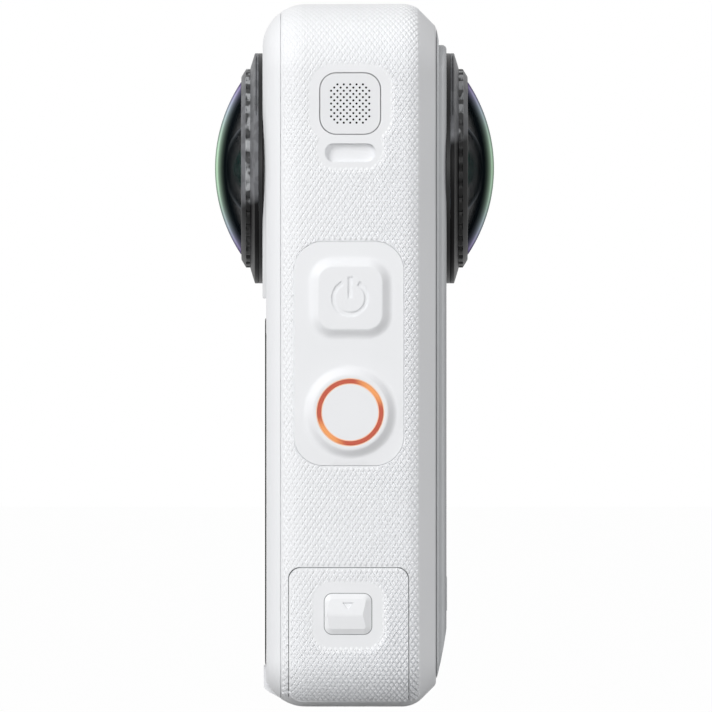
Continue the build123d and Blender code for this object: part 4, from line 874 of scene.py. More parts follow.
def place_on(
    vertices: list[bpy.types.MeshVertex], centre: Zone, edge: Zone, split_z: float = 0.0, side: int = 0
) -> None:
    """Moves vertices straight out from a centre onto a rounded outline.

    Args:
        vertices: The vertices to move.
        centre: The zone whose middle they move out from.
        edge: The outline that they come to lie on.
        split_z: Height at which the outline is cut off.
        side: 1 to keep what is above the cut, -1 what is below it and 0 for no cut.
    """
    # Each vertex is found by halving the way to a point well outside
    farthest, halvings = 60.0, 40
    here = np.array([v.co for v in vertices]) / MM
    way = np.stack([here[:, 0] - centre.x, here[:, 2] - centre.z], axis=1)
    way /= np.linalg.norm(way, axis=1)[:, None]

    def outside(reach: np.ndarray) -> np.ndarray:
        """Measures how far outside the outline or the cut each vertex would lie.

        Args:
            reach: Distance of each from the centre.

        Returns:
            The distance outside, below zero inside.
        """
        x, z = centre.x + way[:, 0] * reach, centre.z + way[:, 1] * reach
        away = edge.distance(x, z)
        return np.maximum(away, side * (split_z - z)) if side else away

    low, high = np.zeros(len(here)), np.full(len(here), farthest)
    for _ in range(halvings):
        middle = (low + high) / 2
        is_out = outside(middle) > 0
        low, high = np.where(is_out, low, middle), np.where(is_out, middle, high)
    x, z = centre.x + way[:, 0] * low, centre.z + way[:, 1] * low
    if side:
        for corner_x in (edge.x - edge.half_x, edge.x + edge.half_x):
            nearest = int(np.argmin(np.hypot(x - corner_x, z - split_z)))
            x[nearest], z[nearest] = corner_x, split_z
    for vertex, new_x, new_z in zip(vertices, x, z):
        vertex.co.x, vertex.co.z = new_x * MM, new_z * MM


def rounded_face(name: str, zone: Zone, y: float, steps: int) -> bpy.types.Object:
    """Makes one face with a rounded outline and leaves it selected in edit mode.

    Args:
        name: The new piece's name.
        zone: Its outline.
        y: The plane that it lies in, in metres; it faces -Y.
        steps: Number of its corners.

    Returns:
        The piece.
    """
    start_primitive()
    bpy.ops.mesh.primitive_circle_add(vertices=steps, radius=MM, fill_type="NGON",
                                      location=(zone.x * MM, y, zone.z * MM), rotation=(math.pi / 2, 0, 0))
    piece = bpy.context.object
    piece.name = name
    settle(piece)
    place_on(list(piece.data.vertices), zone, zone)
    edit(piece)
    bpy.ops.mesh.select_all(action="SELECT")
    return piece


def cut_away(piece: bpy.types.Object, cutter: bpy.types.Object) -> None:
    """Subtracts a tool from a piece and removes the tool.

    Args:
        piece: The piece that is cut.
        cutter: The tool, a closed mesh.
    """
    modifier = piece.modifiers.new("cut", "BOOLEAN")
    modifier.operation = "DIFFERENCE"
    modifier.object = cutter
    only(piece)
    bpy.ops.object.modifier_apply(modifier=modifier.name)
    bpy.data.objects.remove(cutter, do_unlink=True)


@dataclass(frozen=True)
class Patch:
    """The part of the band that one grip covers."""

    # Zones that stay bare on the button side, and on the far side
    bare: tuple[Zone, ...] = ()
    far_bare: tuple[Zone, ...] = ()
    # A zone that the diamonds fill, with none outside it, and whether it lies on the far side
    only_in: Zone | None = None
    far_side: bool = False

    def zones(self, far: np.ndarray) -> list[tuple[Zone, np.ndarray]]:
        """Pairs each bare zone with the points that it can reach.

        Args:
            far: Whether each point is on the far side.

        Returns:
            Each zone with a mask of the points on its side.
        """
        return [(zone, ~far) for zone in self.bare] + [(zone, far) for zone in self.far_bare]


@dataclass
class GripTexture:
    """The raised diamonds of the grip: one is modelled, then copied over the body's surface."""

    body: BodyOutline
    cell_width: float = 0.858
    cell_height: float = 1.316
    top_share: float = 0.5
    sink: float = 0.03
    rise: float = 0.17
    # The etch gets deeper from the rear cover's side to the front one's
    rise_spots: tuple[float, ...] = (-12.0, -6.0, 3.0, 10.0)
    rise_shares: tuple[float, ...] = (0.5, 0.85, 1.2, 1.75)
    # It also gets deeper towards the base and shallower over the top, by distance round the
    # outline from where the base corner starts
    low_spots: tuple[float, ...] = (-4.0, 14.0, 92.0, 106.0, 144.0, 158.0, 235.0, 253.0)
    low_shares: tuple[float, ...] = (2.1, 1.0, 1.0, 0.35, 0.35, 1.0, 1.0, 1.2)
    keep_off: float = 0.05
    along_low: float = -12.05
    along_high: float = 10.75
    lip_angle: float = 58.0
    # Past the top of the button side by this much, a diamond can't belong to that side
    side_room: float = 20.0
    # A normal that leans this far to +Y belongs to the far side
    far_normal: float = 0.3
    # Diamonds lower than this share of the full height are left out
    faintest: float = 0.05
    # Corners that cross an edge are moved back along its slope, in a few rounds
    slope_step: float = 0.01
    slope_rounds: int = 3
    least_slope: float = 0.2
    # A diamond is lost when more of its base corners than this lie past an edge
    most_crossed: int = 2

    def diamond(self) -> np.ndarray:
        """Models one truncated diamond of unit size.

        Returns:
            Its corners: those of its base first, then those of its top.
        """
        start_primitive()
        bpy.ops.mesh.primitive_cone_add(vertices=4, radius1=0.5, radius2=0.5 * self.top_share, depth=1,
                                        location=(0, 0, 0.5), end_fill_type="NGON")
        shape = bpy.context.object
        settle(shape)
        corners = np.array([v.co for v in shape.data.vertices])
        low = corners[corners[:, 2] < 0.5]
        high = corners[corners[:, 2] > 0.5]
        turn = [np.argsort(np.arctan2(ring[:, 1], ring[:, 0])) for ring in (low, high)]
        bpy.data.objects.remove(shape, do_unlink=True)
        return np.concatenate([low[turn[0]], high[turn[1]]])

    def span(self) -> tuple[float, float]:
        """Finds where the grip starts and ends, at the lips of the base.

        Returns:
            Both distances round the outline.
        """
        lip = math.radians(self.lip_angle) * self.body.base_radius
        ends = np.cumsum(self.body.lengths())
        return -lip, ends[4] + lip

    def relief(self, name: str, patch: Patch) -> bpy.types.Object:
        """Copies the diamond over part of the band.

        Args:
            name: The new piece's name.
            patch: The part of the band.

        Returns:
            The relief as one piece.
        """
        low, high = self.span()
        columns = np.arange(math.floor(self.along_low / self.cell_width) - 1,
                            math.ceil(self.along_high / self.cell_width) + 2)
        rows = np.arange(math.floor(2 * low / self.cell_height) - 1,
                         math.ceil(2 * high / self.cell_height) + 2)
        column, row = np.meshgrid(columns, rows)
        u = (column + 0.5 * (row % 2)) * self.cell_width
        s = row * self.cell_height / 2
        inside = (u > self.along_low) & (u < self.along_high) & (s > low) & (s < high)
        u, s = u[inside], s[inside]
        if patch.only_in is not None:
            on_side = (s > self.body.lengths()[0] + self.side_room) == patch.far_side
            u, s = u[on_side], s[on_side]
        shape = self.diamond()
        corner_u = u[:, None] + shape[None, :, 0] * self.cell_width
        corner_s = s[:, None] + shape[None, :, 1] * self.cell_height
        height = self.rise * np.interp(u, self.rise_spots, self.rise_shares)[:, None]
        height = height * np.interp(s, self.low_spots, self.low_shares)[:, None]
        rise = np.where(shape[None, :, 2] > 0.5, height, -self.sink)
        corner_u, corner_s, lost = self._cut(corner_u, corner_s, patch)
        fade = self._fade(corner_u, corner_s, patch)
        rise = np.where(rise > 0, rise * fade - self.sink * (1 - fade), rise)
        keep = (~lost) & (fade.max(axis=1) > self.faintest)
        corner_u, corner_s, rise = corner_u[keep], corner_s[keep], rise[keep]
        return self._mesh(name, self.body.surface(corner_u, corner_s, rise))

    def _plane(self, u: np.ndarray, s: np.ndarray) -> tuple[np.ndarray, np.ndarray, np.ndarray]:
        """Finds where points of the band lie in the view from the side.

        Args:
            u: Distance of each point along the section.
            s: Distance of each point round the outline.

        Returns:
            X, Z and whether the point is on the far side.
        """
        x, drop, _ = self.body.section(u)
        _, z, ny, _ = self.body.outline(s.ravel(), drop.ravel())
        return x, z.reshape(x.shape), ny.reshape(x.shape) > self.far_normal

    def _distance(self, u: np.ndarray, s: np.ndarray, patch: Patch) -> np.ndarray:
        """Measures how far points of the band lie from the nearest sharp edge of a grip.

        Args:
            u: Distance of each point along the section.
            s: Distance of each point round the outline.
            patch: The part of the band that the grip covers.

        Returns:
            The distance, below zero where no diamond may be.
        """
        x, z, far = self._plane(u, s)
        low, high = self.span()
        near = np.minimum(np.minimum(u - self.along_low, self.along_high - u),
                          np.minimum(s - low, high - s))
        for zone, here in patch.zones(far):
            if not zone.fade:
                near = np.where(here, np.minimum(near, zone.distance(x, z)), near)
        if patch.only_in is not None:
            near = np.minimum(near, -patch.only_in.distance(x, z))
        return near

    def _cut(
        self, u: np.ndarray, s: np.ndarray, patch: Patch
    ) -> tuple[np.ndarray, np.ndarray, np.ndarray]:
        """Moves corners that cross a sharp edge back onto it, and marks the diamonds lost to it.

        Args:
            u: Distance of each diamond's corners along the section, base corners first.
            s: Distance of each diamond's corners round the outline.
            patch: The part of the band that the grip covers.

        Returns:
            Both distances after the move, and whether each diamond is lost.
        """
        lost = (self._distance(u, s, patch)[:, :4] < self.keep_off).sum(axis=1) > self.most_crossed
        for _ in range(self.slope_rounds):
            near = self._distance(u, s, patch)
            slope_u = (self._distance(u + self.slope_step, s, patch) - near) / self.slope_step
            slope_s = (self._distance(u, s + self.slope_step, patch) - near) / self.slope_step
            size = np.maximum(slope_u ** 2 + slope_s ** 2, self.least_slope)
            push = np.maximum(self.keep_off - near, 0) / size
            u, s = u + push * slope_u, s + push * slope_s
        return u, s, lost

    def _fade(self, u: np.ndarray, s: np.ndarray, patch: Patch) -> np.ndarray:
        """Finds how much lower the diamonds get near the zones with a soft edge.

        Args:
            u: Distance of each corner along the section.
            s: Distance of each corner round the outline.
            patch: The part of the band that the grip covers.

        Returns:
            The share of the full height.
        """
        x, z, far = self._plane(u, s)
        share = np.ones_like(x)
        for zone, here in patch.zones(far):
            if zone.fade:
                ramp = np.clip(zone.distance(x, z) / zone.fade, 0, 1)
                share = np.where(here, np.minimum(share, ramp * ramp * (3 - 2 * ramp)), share)
        return share

    def _mesh(self, name: str, points: np.ndarray) -> bpy.types.Object:
        """Makes one mesh of all the diamonds, open underneath where the shell closes them.

        Args:
            name: The new piece's name.
            points: The eight corners of each diamond, in metres.

        Returns:
            The dressed piece.
        """
        count = len(points)
        faces = [[4, 5, 6, 7]] + [[k, (k + 1) % 4, 4 + (k + 1) % 4, 4 + k] for k in range(4)]
        every = (np.arange(count)[:, None, None] * 8 + np.array(faces)[None]).reshape(-1, 4)
        piece = mesh_piece(name, points, every.tolist())
        bpy.ops.mesh.dissolve_degenerate(threshold=SAME_PLACE)
        leave()
        dress(piece, WHITE_GRIP)
        return piece


@dataclass
class Housing:
    """The outer shell: frame, covers, window, microphone cap and screen."""

    body: BodyOutline = field(default_factory=BodyOutline)
    pad_zone: Zone = Zone(-0.9, 57.2, 9.0, 18.25, 4.85)
    cap_zone: Zone = Zone(-0.95, 8.0, 9.77, 14.62, 1.9)
    mic_zone: Zone = Zone(-0.65, 97.85, 6.2, 5.7, 3.2, fade=1.1)
    pill_zone: Zone = Zone(-0.7, 90.4, 4.9, 2.9, 2.6, fade=1.1)
    door_zone: Zone = Zone(1.4, 40.5, 6.1, 8.1, 0.1)
    speaker_zone: Zone = Zone(-3.6, 59.0, 2.4, 5.4, 1.2, fade=0.8)

    def build(self) -> None:
        """Builds and dresses the shell."""
        for node, name, finish, slot in (
            ("centre_frame", "band_shell", WHITE_SHELL, "white_frame"),
            ("rear_cover", "rear_shell", WHITE_COVER, "white_cover"),
            # The front cover's grey is painted shade
            ("front_cover", "front_shell", FRONT_COVER_PAINTED_SHADE, "white_cover"),
            ("mic_cap", "microphone_cap", WHITE_CAP, "white_cover"),
            ("status_window", "status_lens", STATUS_LENS, "status_lens"),
            ("touch_glass", "screen_glass", SCREEN_GLASS, "screen_glass"),
        ):
            hand_over(merged(node, name), finish, "root", slot, node)
        bare = (self.pad_zone, self.cap_zone, self.mic_zone, self.pill_zone)
        far_bare = (self.door_zone, self.speaker_zone)
        report(GripTexture(self.body).relief("band_grip", Patch(bare, far_bare)), "root", "white_frame")


@dataclass
class ButtonPad:
    """The silicone sheet with both buttons, in two halves that each bend with their button."""

    outline: Zone = Zone(-0.9, 57.2, 8.9, 18.15, 4.75)
    seat: Zone = Zone(-0.9, 57.2, 9.04, 18.29, 4.89)
    split_z: float = 57.0
    face_y: float = -23.0 * MM
    # A normal with this share along Y faces the back
    square_on: float = 0.99
    rim_turn: float = 0.07 * MM
    rim_depth: float = 0.37 * MM
    rim_segments: int = 3
    # In millimetres, how near the outline an edge counts as the rim
    rim_near: float = 0.05
    groove_depth: float = 0.32 * MM
    power: Zone = Zone(-0.7, 66.2, 6.95, 6.85, 4.2)
    power_flank: float = 1.9 * MM
    power_height: float = 1.0 * MM
    record: Zone = Zone(-0.7, 47.7, 7.7, 7.7, 7.7)
    record_flank: float = 1.7 * MM
    record_height: float = 1.0 * MM
    loop_steps: int = 144
    # Radii, in millimetres, of the painted glow beside the ring
    lit_spans: tuple[tuple[float, float], ...] = ((4.56, 4.69), (5.37, 5.51))
    mark_middle_r: float = 2.675 * MM
    mark_stroke: float = 0.86 * MM
    mark_opening: float = math.radians(28)
    mark_depth: float = 0.22 * MM
    mark_steps: int = 60
    bar_high: float = 3.45 * MM
    # Shares of the flank's width and height, from the foot to the edge of the top
    flank_shares: tuple[tuple[float, float], ...] = (
        (0.10, 0.012), (0.22, 0.06), (0.34, 0.16), (0.46, 0.31), (0.58, 0.49),
        (0.70, 0.68), (0.80, 0.83), (0.89, 0.935), (0.96, 0.985), (1.0, 1.0),
    )
    # Steps of inset and depth, in millimetres, that shape the seat of the light ring
    ring_steps: tuple[tuple[float, float], ...] = (
        (0.48, 0.0), (0.14, -0.03), (0.02, -0.16), (0.66, 0.0), (0.02, 0.16), (0.14, 0.03),
    )

    def build(self) -> None:
        """Builds both halves and the light ring."""
        power, record = self._power(), self._record()
        for button, body, zone, side, height, nodes in (
            (power, "power_button", self.power, 1, self.power_height, ("power_button", "button_pad")),
            (record, "record_button", self.record, -1, self.record_height, ("record_button",)),
        ):
            self._widen(button, zone, side)
            dress(button, WHITE_SILICONE)
            # The record button gets the painted glow beside its ring
            if button is record:
                self._light(button)
            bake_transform(button, "root", body, start=(0, self.face_y, 0), end=(0, self.face_y - height, 0))
            report(button, body, "white_silicone", *nodes)
        ring = merged("record_ring", "record_light_ring")
        hand_over(ring, ORANGE_RING, "record_button", "orange_ring", "record_ring")

    def _light(self, button: bpy.types.Object) -> None:
        """Paints a peach glow on the narrow slopes on both sides of the light ring.

        Args:
            button: The record button, dressed.
        """
        button.data.materials.append(SILICONE_PAINTED_GLOW.material())
        for face in button.data.polygons:
            reach = math.hypot(face.center.x / MM - self.record.x, face.center.z / MM - self.record.z)
            if any(low < reach < high for low, high in self.lit_spans):
                face.material_index = 1

    def _raise(self, width: float, height: float) -> None:
        """Raises the selected face by insets that follow the soft flank.

        Args:
            width: The flank's width, in metres.
            height: The button's height, in metres.
        """
        shares = np.array([(0.0, 0.0), *self.flank_shares])
        inset_steps(np.diff(shares, axis=0).tolist(), width, height)

    def _power(self) -> bpy.types.Object:
        """Builds the square button and sinks the power mark into it.

        Returns:
            The button, open at its foot.
        """
        button = rounded_face("power_pad_skin", self.power, self.face_y, self.loop_steps)
        self._raise(self.power_flank, self.power_height)
        bpy.ops.mesh.select_mode(type="EDGE")
        self._select_rim()
        bpy.ops.mesh.edge_face_add()
        face_out()
        for cutter in (self._mark_arc(), self._mark_bar()):
            cut_away(button, cutter)
        edit(button)
        leave()
        for face in button.data.polygons:
            at_foot = abs(face.center.y - self.face_y) < NEAR_PLANE
            face.select = face.normal.y > self.square_on and at_foot
        edit_selected(button)
        bpy.ops.mesh.delete(type="ONLY_FACE")
        leave()
        return button

    def _mark_arc(self) -> bpy.types.Object:
        """Makes the tool for the mark's arc: a radial stroke, spun round and thickened.

        Returns:
            The tool, a closed mesh.
        """
        top_y = self.face_y - self.power_height
        cutter = start_corner()
        inner = self.mark_middle_r - self.mark_stroke / 2
        lean = self.mark_opening
        centre = (self.power.x * MM, top_y - self.mark_depth, self.power.z * MM)
        bpy.ops.transform.translate(value=(centre[0] - inner * math.sin(lean), centre[1],
                                           centre[2] + inner * math.cos(lean)))
        bpy.ops.mesh.extrude_vertices_move(TRANSFORM_OT_translate={
            "value": (-self.mark_stroke * math.sin(lean), 0, self.mark_stroke * math.cos(lean))})
        bpy.ops.mesh.select_all(action="SELECT")
        bpy.ops.mesh.spin(steps=self.mark_steps, angle=2 * math.pi - 2 * lean, center=centre,
                          axis=(0, 1, 0))
        weld()
        bpy.ops.mesh.extrude_region_move(TRANSFORM_OT_translate={"value": (0, 2 * self.mark_depth, 0)})
        bpy.ops.mesh.select_mode(type="EDGE")
        bpy.ops.mesh.select_all(action="DESELECT")
        self._select_rim()
        bpy.ops.mesh.edge_face_add()
        face_out()
        return cutter

    def _mark_bar(self) -> bpy.types.Object:
        """Makes the tool for the mark's bar.

        Returns:
            The tool, a closed mesh.
        """
        top_y = self.face_y - self.power_height
        start_primitive()
        bpy.ops.mesh.primitive_cube_add(size=1, location=(self.power.x * MM, top_y,
                                                          self.power.z * MM + self.bar_high / 2))
        cutter = bpy.context.object
        cutter.scale = (self.mark_stroke, 2 * self.mark_depth, self.bar_high)
        settle(cutter)
        return cutter

    def _record(self) -> bpy.types.Object:
        """Builds the round button with the seat of its light ring.

        Returns:
            The button, open at its foot.
        """
        button = rounded_face("record_pad_skin", self.record, self.face_y, self.loop_steps)
        self._raise(self.record_flank, self.record_height)
        inset_steps(self.ring_steps)
        leave()
        return button

    def _select_rim(self) -> None:
        """Selects the open edges in edit mode."""
        bpy.ops.mesh.select_non_manifold(extend=False, use_wire=False, use_boundary=True,
                                         use_multi_face=False, use_non_contiguous=False, use_verts=False)

    def _widen(self, button: bpy.types.Object, zone: Zone, side: int) -> None:
        """Widens a button's foot to its half of the sheet and turns the rim down into its seat.

        Args:
            button: The button, open at its foot.
            zone: The outline of its foot.
            side: 1 for the upper half and -1 for the lower.
        """
        edit(button)
        bpy.ops.mesh.select_mode(type="EDGE")
        self._select_rim()
        for edge, depth in ((self.outline, self.groove_depth), (self.seat, self.rim_depth)):
            bpy.ops.mesh.extrude_edges_move(TRANSFORM_OT_translate={"value": (0, 0, 0)})
            leave()
            place_on([v for v in button.data.vertices if v.select], zone, edge, self.split_z, side)
            edit_selected(button)
            bpy.ops.mesh.extrude_edges_move(TRANSFORM_OT_translate={"value": (0, depth, 0)})
        face_out()
        self._bevel_rim(button)
        smooth(button, SOFT_ANGLE)

    def _bevel_rim(self, button: bpy.types.Object) -> None:
        """Rounds the sheet's outer edge, but not where the halves meet.

        Args:
            button: One half of the sheet.
        """
        edit(button)
        leave()
        for edge in button.data.edges:
            ends = [button.data.vertices[number].co for number in edge.vertices]
            middle = (ends[0] + ends[1]) / 2
            flat = all(abs(end.y - self.face_y) < NEAR_PLANE for end in ends)
            away = self.outline.distance(np.array(middle.x / MM), np.array(middle.z / MM))
            edge.select = bool(flat and abs(away) < self.rim_near)
        edit_selected(button)
        bpy.ops.mesh.select_mode(type="EDGE")
        bpy.ops.mesh.bevel(offset=2 * self.rim_turn, segments=self.rim_segments, affect="EDGES")
        leave()


@dataclass
class BatteryPack:
    """The battery's outer cap with its grip and the latch."""

    grip: GripTexture
    cap_zone: Zone = Zone(-0.95, 8.0, 9.6, 14.45, 1.8)
    latch_zone: Zone = Zone(-1.05, 14.85, 5.2, 4.9, 2.4, fade=1.5)
    latch: Zone = Zone(-1.05, 15.07, 3.8, 3.27, 1.25)
    # A grey ring just outside the latch, painted shade of the gap round it
    shade_ring: Zone = Zone(-1.05, 15.07, 3.92, 3.39, 1.37)
    latch_foot_y: float = -22.98 * MM
    loop_steps: int = 96
    # The latch's facets meet at so slight an angle that a larger one would smooth them away
    facet_angle: float = math.radians(9)
    latch_wall: float = 0.06 * MM
    shade_ring_height: float = 0.035 * MM
    # Steps of inset and depth, in millimetres, from the wall to the flat top
    latch_steps: tuple[tuple[float, float], ...] = ((0.04, 0.03), (0.06, 0.02), (0.75, 0.43), (0.03, 0.002))
    ridge_drop: float = 0.15
    ridge_height: float = 0.26 * MM
    facet_reach: float = 0.55 * MM
    facet_back: float = 0.35 * MM
    # The mark's size halfway down its sloping walls, and how much its floor is smaller than its mouth
    mark_size: tuple[float, float] = (2.3 * MM, 1.52 * MM)
    mark_taper: float = 0.4
    mark_z: float = 16.5 * MM
    mark_depth: float = 0.26 * MM

    def build(self) -> None:
        """Builds the cap, its grip and the latch."""
        cap = merged("battery_cap", "battery_cap_shell")
        hand_over(cap, WHITE_SHELL, "battery_pack", "white_frame", "battery_cap")
        patch = Patch((self.latch_zone,), only_in=self.cap_zone)
        report(self.grip.relief("battery_cap_grip", patch), "battery_pack", "white_frame")
        hand_over(self._latch(), WHITE_COVER, "battery_latch", "white_cover", "battery_latch")
        # The grey ring round the latch is painted shade
        hand_over(self._shade_ring(), SEAM_PAINTED_SHADE, "battery_latch", "seal_rubber")

    def _latch(self) -> bpy.types.Object:
        """Builds the latch: a hipped cap with a ridge across its middle and a sunk triangle.

        Returns:
            The latch, open at its foot.
        """
        latch = rounded_face("latch_slider", self.latch, self.latch_foot_y, self.loop_steps)
        bpy.ops.mesh.extrude_region_move(TRANSFORM_OT_translate={"value": (0, -self.latch_wall, 0)})
        inset_steps(self.latch_steps)
        bpy.ops.mesh.select_all(action="SELECT")
        middle = (0, 0, (self.latch.z - self.ridge_drop) * MM)
        bpy.ops.mesh.bisect(plane_co=middle, plane_no=(0, 0, 1))
        leave()
        top_y = min(v.co.y for v in latch.data.vertices)
        on_top = [v for v in latch.data.vertices if v.co.y < top_y + NEAR_PLANE]
        top_z, low_z = max(v.co.z for v in on_top), min(v.co.z for v in on_top)

        def share(z: float) -> float:
            """Returns how near a height is to the ridge, from 0 at the ends to 1."""
            span = top_z - middle[2] if z > middle[2] else middle[2] - low_z
            return 1 - abs(z - middle[2]) / span

        for vertex in on_top:
            move = self.facet_reach if vertex.co.x > self.latch.x * MM else self.facet_back
            vertex.co.y -= self.ridge_height * share(vertex.co.z)
            vertex.co.x -= move * share(vertex.co.z)
        cut_away(latch, self._mark(lambda z: top_y - self.ridge_height * share(z)))
        smooth(latch, self.facet_angle)
        return latch

    def _mark(self, top_at: Callable[[float], float]) -> bpy.types.Object:
        """Makes the tool for the sunk triangle, which follows the slope of the latch's top.

        Args:
            top_at: Gives the Y of the top at a height.

        Returns:
            The tool, a closed mesh with walls that lean in.
        """
        start_primitive()
        bpy.ops.mesh.primitive_cylinder_add(vertices=3, radius=1, depth=1,
                                            rotation=(math.pi / 2, 0, math.pi))
        mark = bpy.context.object
        settle(mark)
        low = min(v.co.z for v in mark.data.vertices)
        high = max(v.co.z for v in mark.data.vertices)
        wide = max(v.co.x for v in mark.data.vertices)
        points_down = sum(v.co.z < (low + high) / 2 for v in mark.data.vertices) == 2
        turn = 1 if points_down else -1
        mark.scale = (self.mark_size[0] / (2 * wide), 1, turn * self.mark_size[1] / (high - low))
        mark.location = (self.latch.x * MM, 0, self.mark_z)
        settle(mark)
        for vertex in mark.data.vertices:
            face_y = top_at(vertex.co.z)
            inner = vertex.co.y > 0
            if inner:
                vertex.co.x += (self.latch.x * MM - vertex.co.x) * self.mark_taper
                vertex.co.z += (self.mark_z - vertex.co.z) * self.mark_taper
            vertex.co.y = face_y + (self.mark_depth if inner else -self.mark_depth)
        edit(mark)
        face_out()
        return mark

    def _shade_ring(self) -> bpy.types.Object:
        """Builds the thin grey ring under the latch's foot, painted shade of the gap round the latch.

        Returns:
            The ring, open at its foot.
        """
        shade_ring = rounded_face("latch_shade_ring", self.shade_ring, self.latch_foot_y, self.loop_steps)
        bpy.ops.mesh.extrude_region_move(TRANSFORM_OT_translate={"value": (0, -self.shade_ring_height, 0)})
        leave()
        smooth(shade_ring)
        return shade_ring


@dataclass
class PortDoor:
    """The door on the far side."""

    grip: GripTexture
    # The hinge edge stays bare, so that the grip doesn't meet the frame as the door swings
    door_zone: Zone = Zone(2.4, 40.5, 5.0, 8.0, 0.4)

    def build(self) -> None:
        """Builds the door and its grip."""
        door = merged("port_door", "port_door_shell")
        hand_over(door, WHITE_SHELL, "port_door", "white_frame", "port_door")
        patch = Patch(only_in=self.door_zone, far_side=True)
        report(self.grip.relief("port_door_grip", patch), "port_door", "white_frame")


@dataclass
class Seams:
    """What fills the seams just under the surface, grey painted shade in the battery cap's seam, and the
    bead along the cap's lower lip.
    """

    grip: GripTexture
    depth: float = 0.13
    rear_half_width: float = 0.2
    cap: Zone = Zone(-0.95, 8.0, 9.65, 14.5, 1.9)
    cap_gap: float = 0.13
    # The filler starts just outside the cap, so that their edges don't coincide
    cap_clear: float = 0.004
    # Numbers of points round the body, along one side of the cap and over a quarter turn
    loop_count: int = 640
    side_count: int = 24
    turn_count: int = 14
    bead_radius: float = 0.24 * MM
    # How far the bead's middle lies under the surface, as a share of its radius
    bead_sink: float = 0.2
    bead_bevel: int = 3
    lip_angle: float = math.radians(58)
    bead_angle: float = math.radians(61.5)
    bend_radius: float = 2.0
    top_extra: float = 0.25
    cap_low_x: float = -10.6
    cap_high_x: float = 8.7
    seam_room: float = 0.12

    def build(self) -> None:
        """Builds both fillers and the bead."""
        self._rear_filler()
        self._cap_filler()
        self._lip_bead()

    def _rear_filler(self) -> None:
        """Fills the seam round the body at the rear cover."""
        body = self.grip.body
        around = np.linspace(0, body.lengths().sum(), self.loop_count)
        seam = body.along(body.rear_seam)
        rows = [np.stack([np.full_like(around, seam + way * self.rear_half_width), around])
                for way in (-1, 1)]
        self._strip("rear_seam_filler", rows, self.depth, WHITE_COVER)

    def _cap_filler(self) -> None:
        """Fills the seam up, over and down round the battery's cap, in grey as painted shade of the gap."""
        body, cap = self.grip.body, self.cap
        corner_s = cap.z + cap.half_z - body.base_radius - cap.radius
        left, right = cap.x - cap.half_x + cap.radius, cap.x + cap.half_x - cap.radius
        up = np.linspace(-self.lip_angle * body.base_radius, corner_s, self.side_count)
        turns = np.linspace(0, math.pi / 2, self.turn_count)
        rows = []
        for offset in (self.cap_clear, self.cap_gap):
            radius = cap.radius + offset
            x = np.concatenate([np.full_like(up, left - radius), left - radius * np.cos(turns),
                                right + radius * np.sin(turns), np.full_like(up, right + radius)])
            s = np.concatenate([up, corner_s + radius * np.sin(turns), corner_s + radius * np.cos(turns),
                                up[::-1]])
            rows.append(np.stack([body.along(x), s]))
        depth = self.depth + self.top_extra * np.clip((s - corner_s) / cap.radius, 0, 1)
        # Grey painted shade in the gap round the cap
        self._strip("battery_seam_painted_shade", rows, depth, SEAM_PAINTED_SHADE)

    def _lip_bead(self) -> None:
        """Runs the bead along the cap's lower lip and round its corners."""
        low, high = self.cap_low_x + self.seam_room, self.cap_high_x - self.seam_room
        bend = self.bend_radius
        turns = np.linspace(0, math.pi / 2, self.turn_count)
        x = np.concatenate([low + bend * (1 - np.cos(turns)), high - bend * (1 - np.sin(turns))])
        rise = bend * np.concatenate([1 - np.sin(turns), 1 - np.cos(turns)])
        s = -self.bead_angle * self.grip.body.base_radius + rise
        self._bead("cap_lip_bead", "battery_pack", x, s)

    def _strip(
        self, name: str, rows: list[np.ndarray], depth: float | np.ndarray, finish: Finish
    ) -> None:
        """Lays a band of faces between two rows of points at a depth under the surface.

        Args:
            name: The new piece's name.
            rows: For each row, the distances along the section and round the outline.
            depth: The depth of every point, or of each, in millimetres.
            finish: The band's finish.
        """
        first, second = (self.grip.body.surface(row[0], row[1], -depth) for row in rows)
        count = len(first)
        faces = [(k, k + 1, count + k + 1, count + k) for k in range(count - 1)]
        piece = mesh_piece(name, np.concatenate([first, second]), faces)
        weld()
        face_out()
        smooth(piece)
        hand_over(piece, finish, "root", "seal_rubber")

    def _bead(self, name: str, body: str, x: np.ndarray, around: np.ndarray) -> None:
        """Draws a round bead over the surface and lets it sink in a little past halfway.

        Args:
            name: The new piece's name.
            body: The CAD body that it moves with.
            x: X of each point of its line.
            around: Distance round the outline of each point.
        """
        sink = self.bead_radius / MM * self.bead_sink
        points = self.grip.body.surface(self.grip.body.along(x), around, -sink)
        curve = bpy.data.curves.new(name, "CURVE")
        curve.dimensions = "3D"
        curve.bevel_depth = self.bead_radius
        curve.bevel_resolution = self.bead_bevel
        curve.use_fill_caps = True
        line = curve.splines.new("POLY")
        line.points.add(len(points) - 1)
        for place, point in zip(line.points, points):
            place.co = (*point, 1)
        only(new_object(name, curve))
        bpy.ops.object.convert(target="MESH")
        piece = bpy.context.object
        smooth(piece)
        hand_over(piece, WHITE_COVER, body, "white_frame")


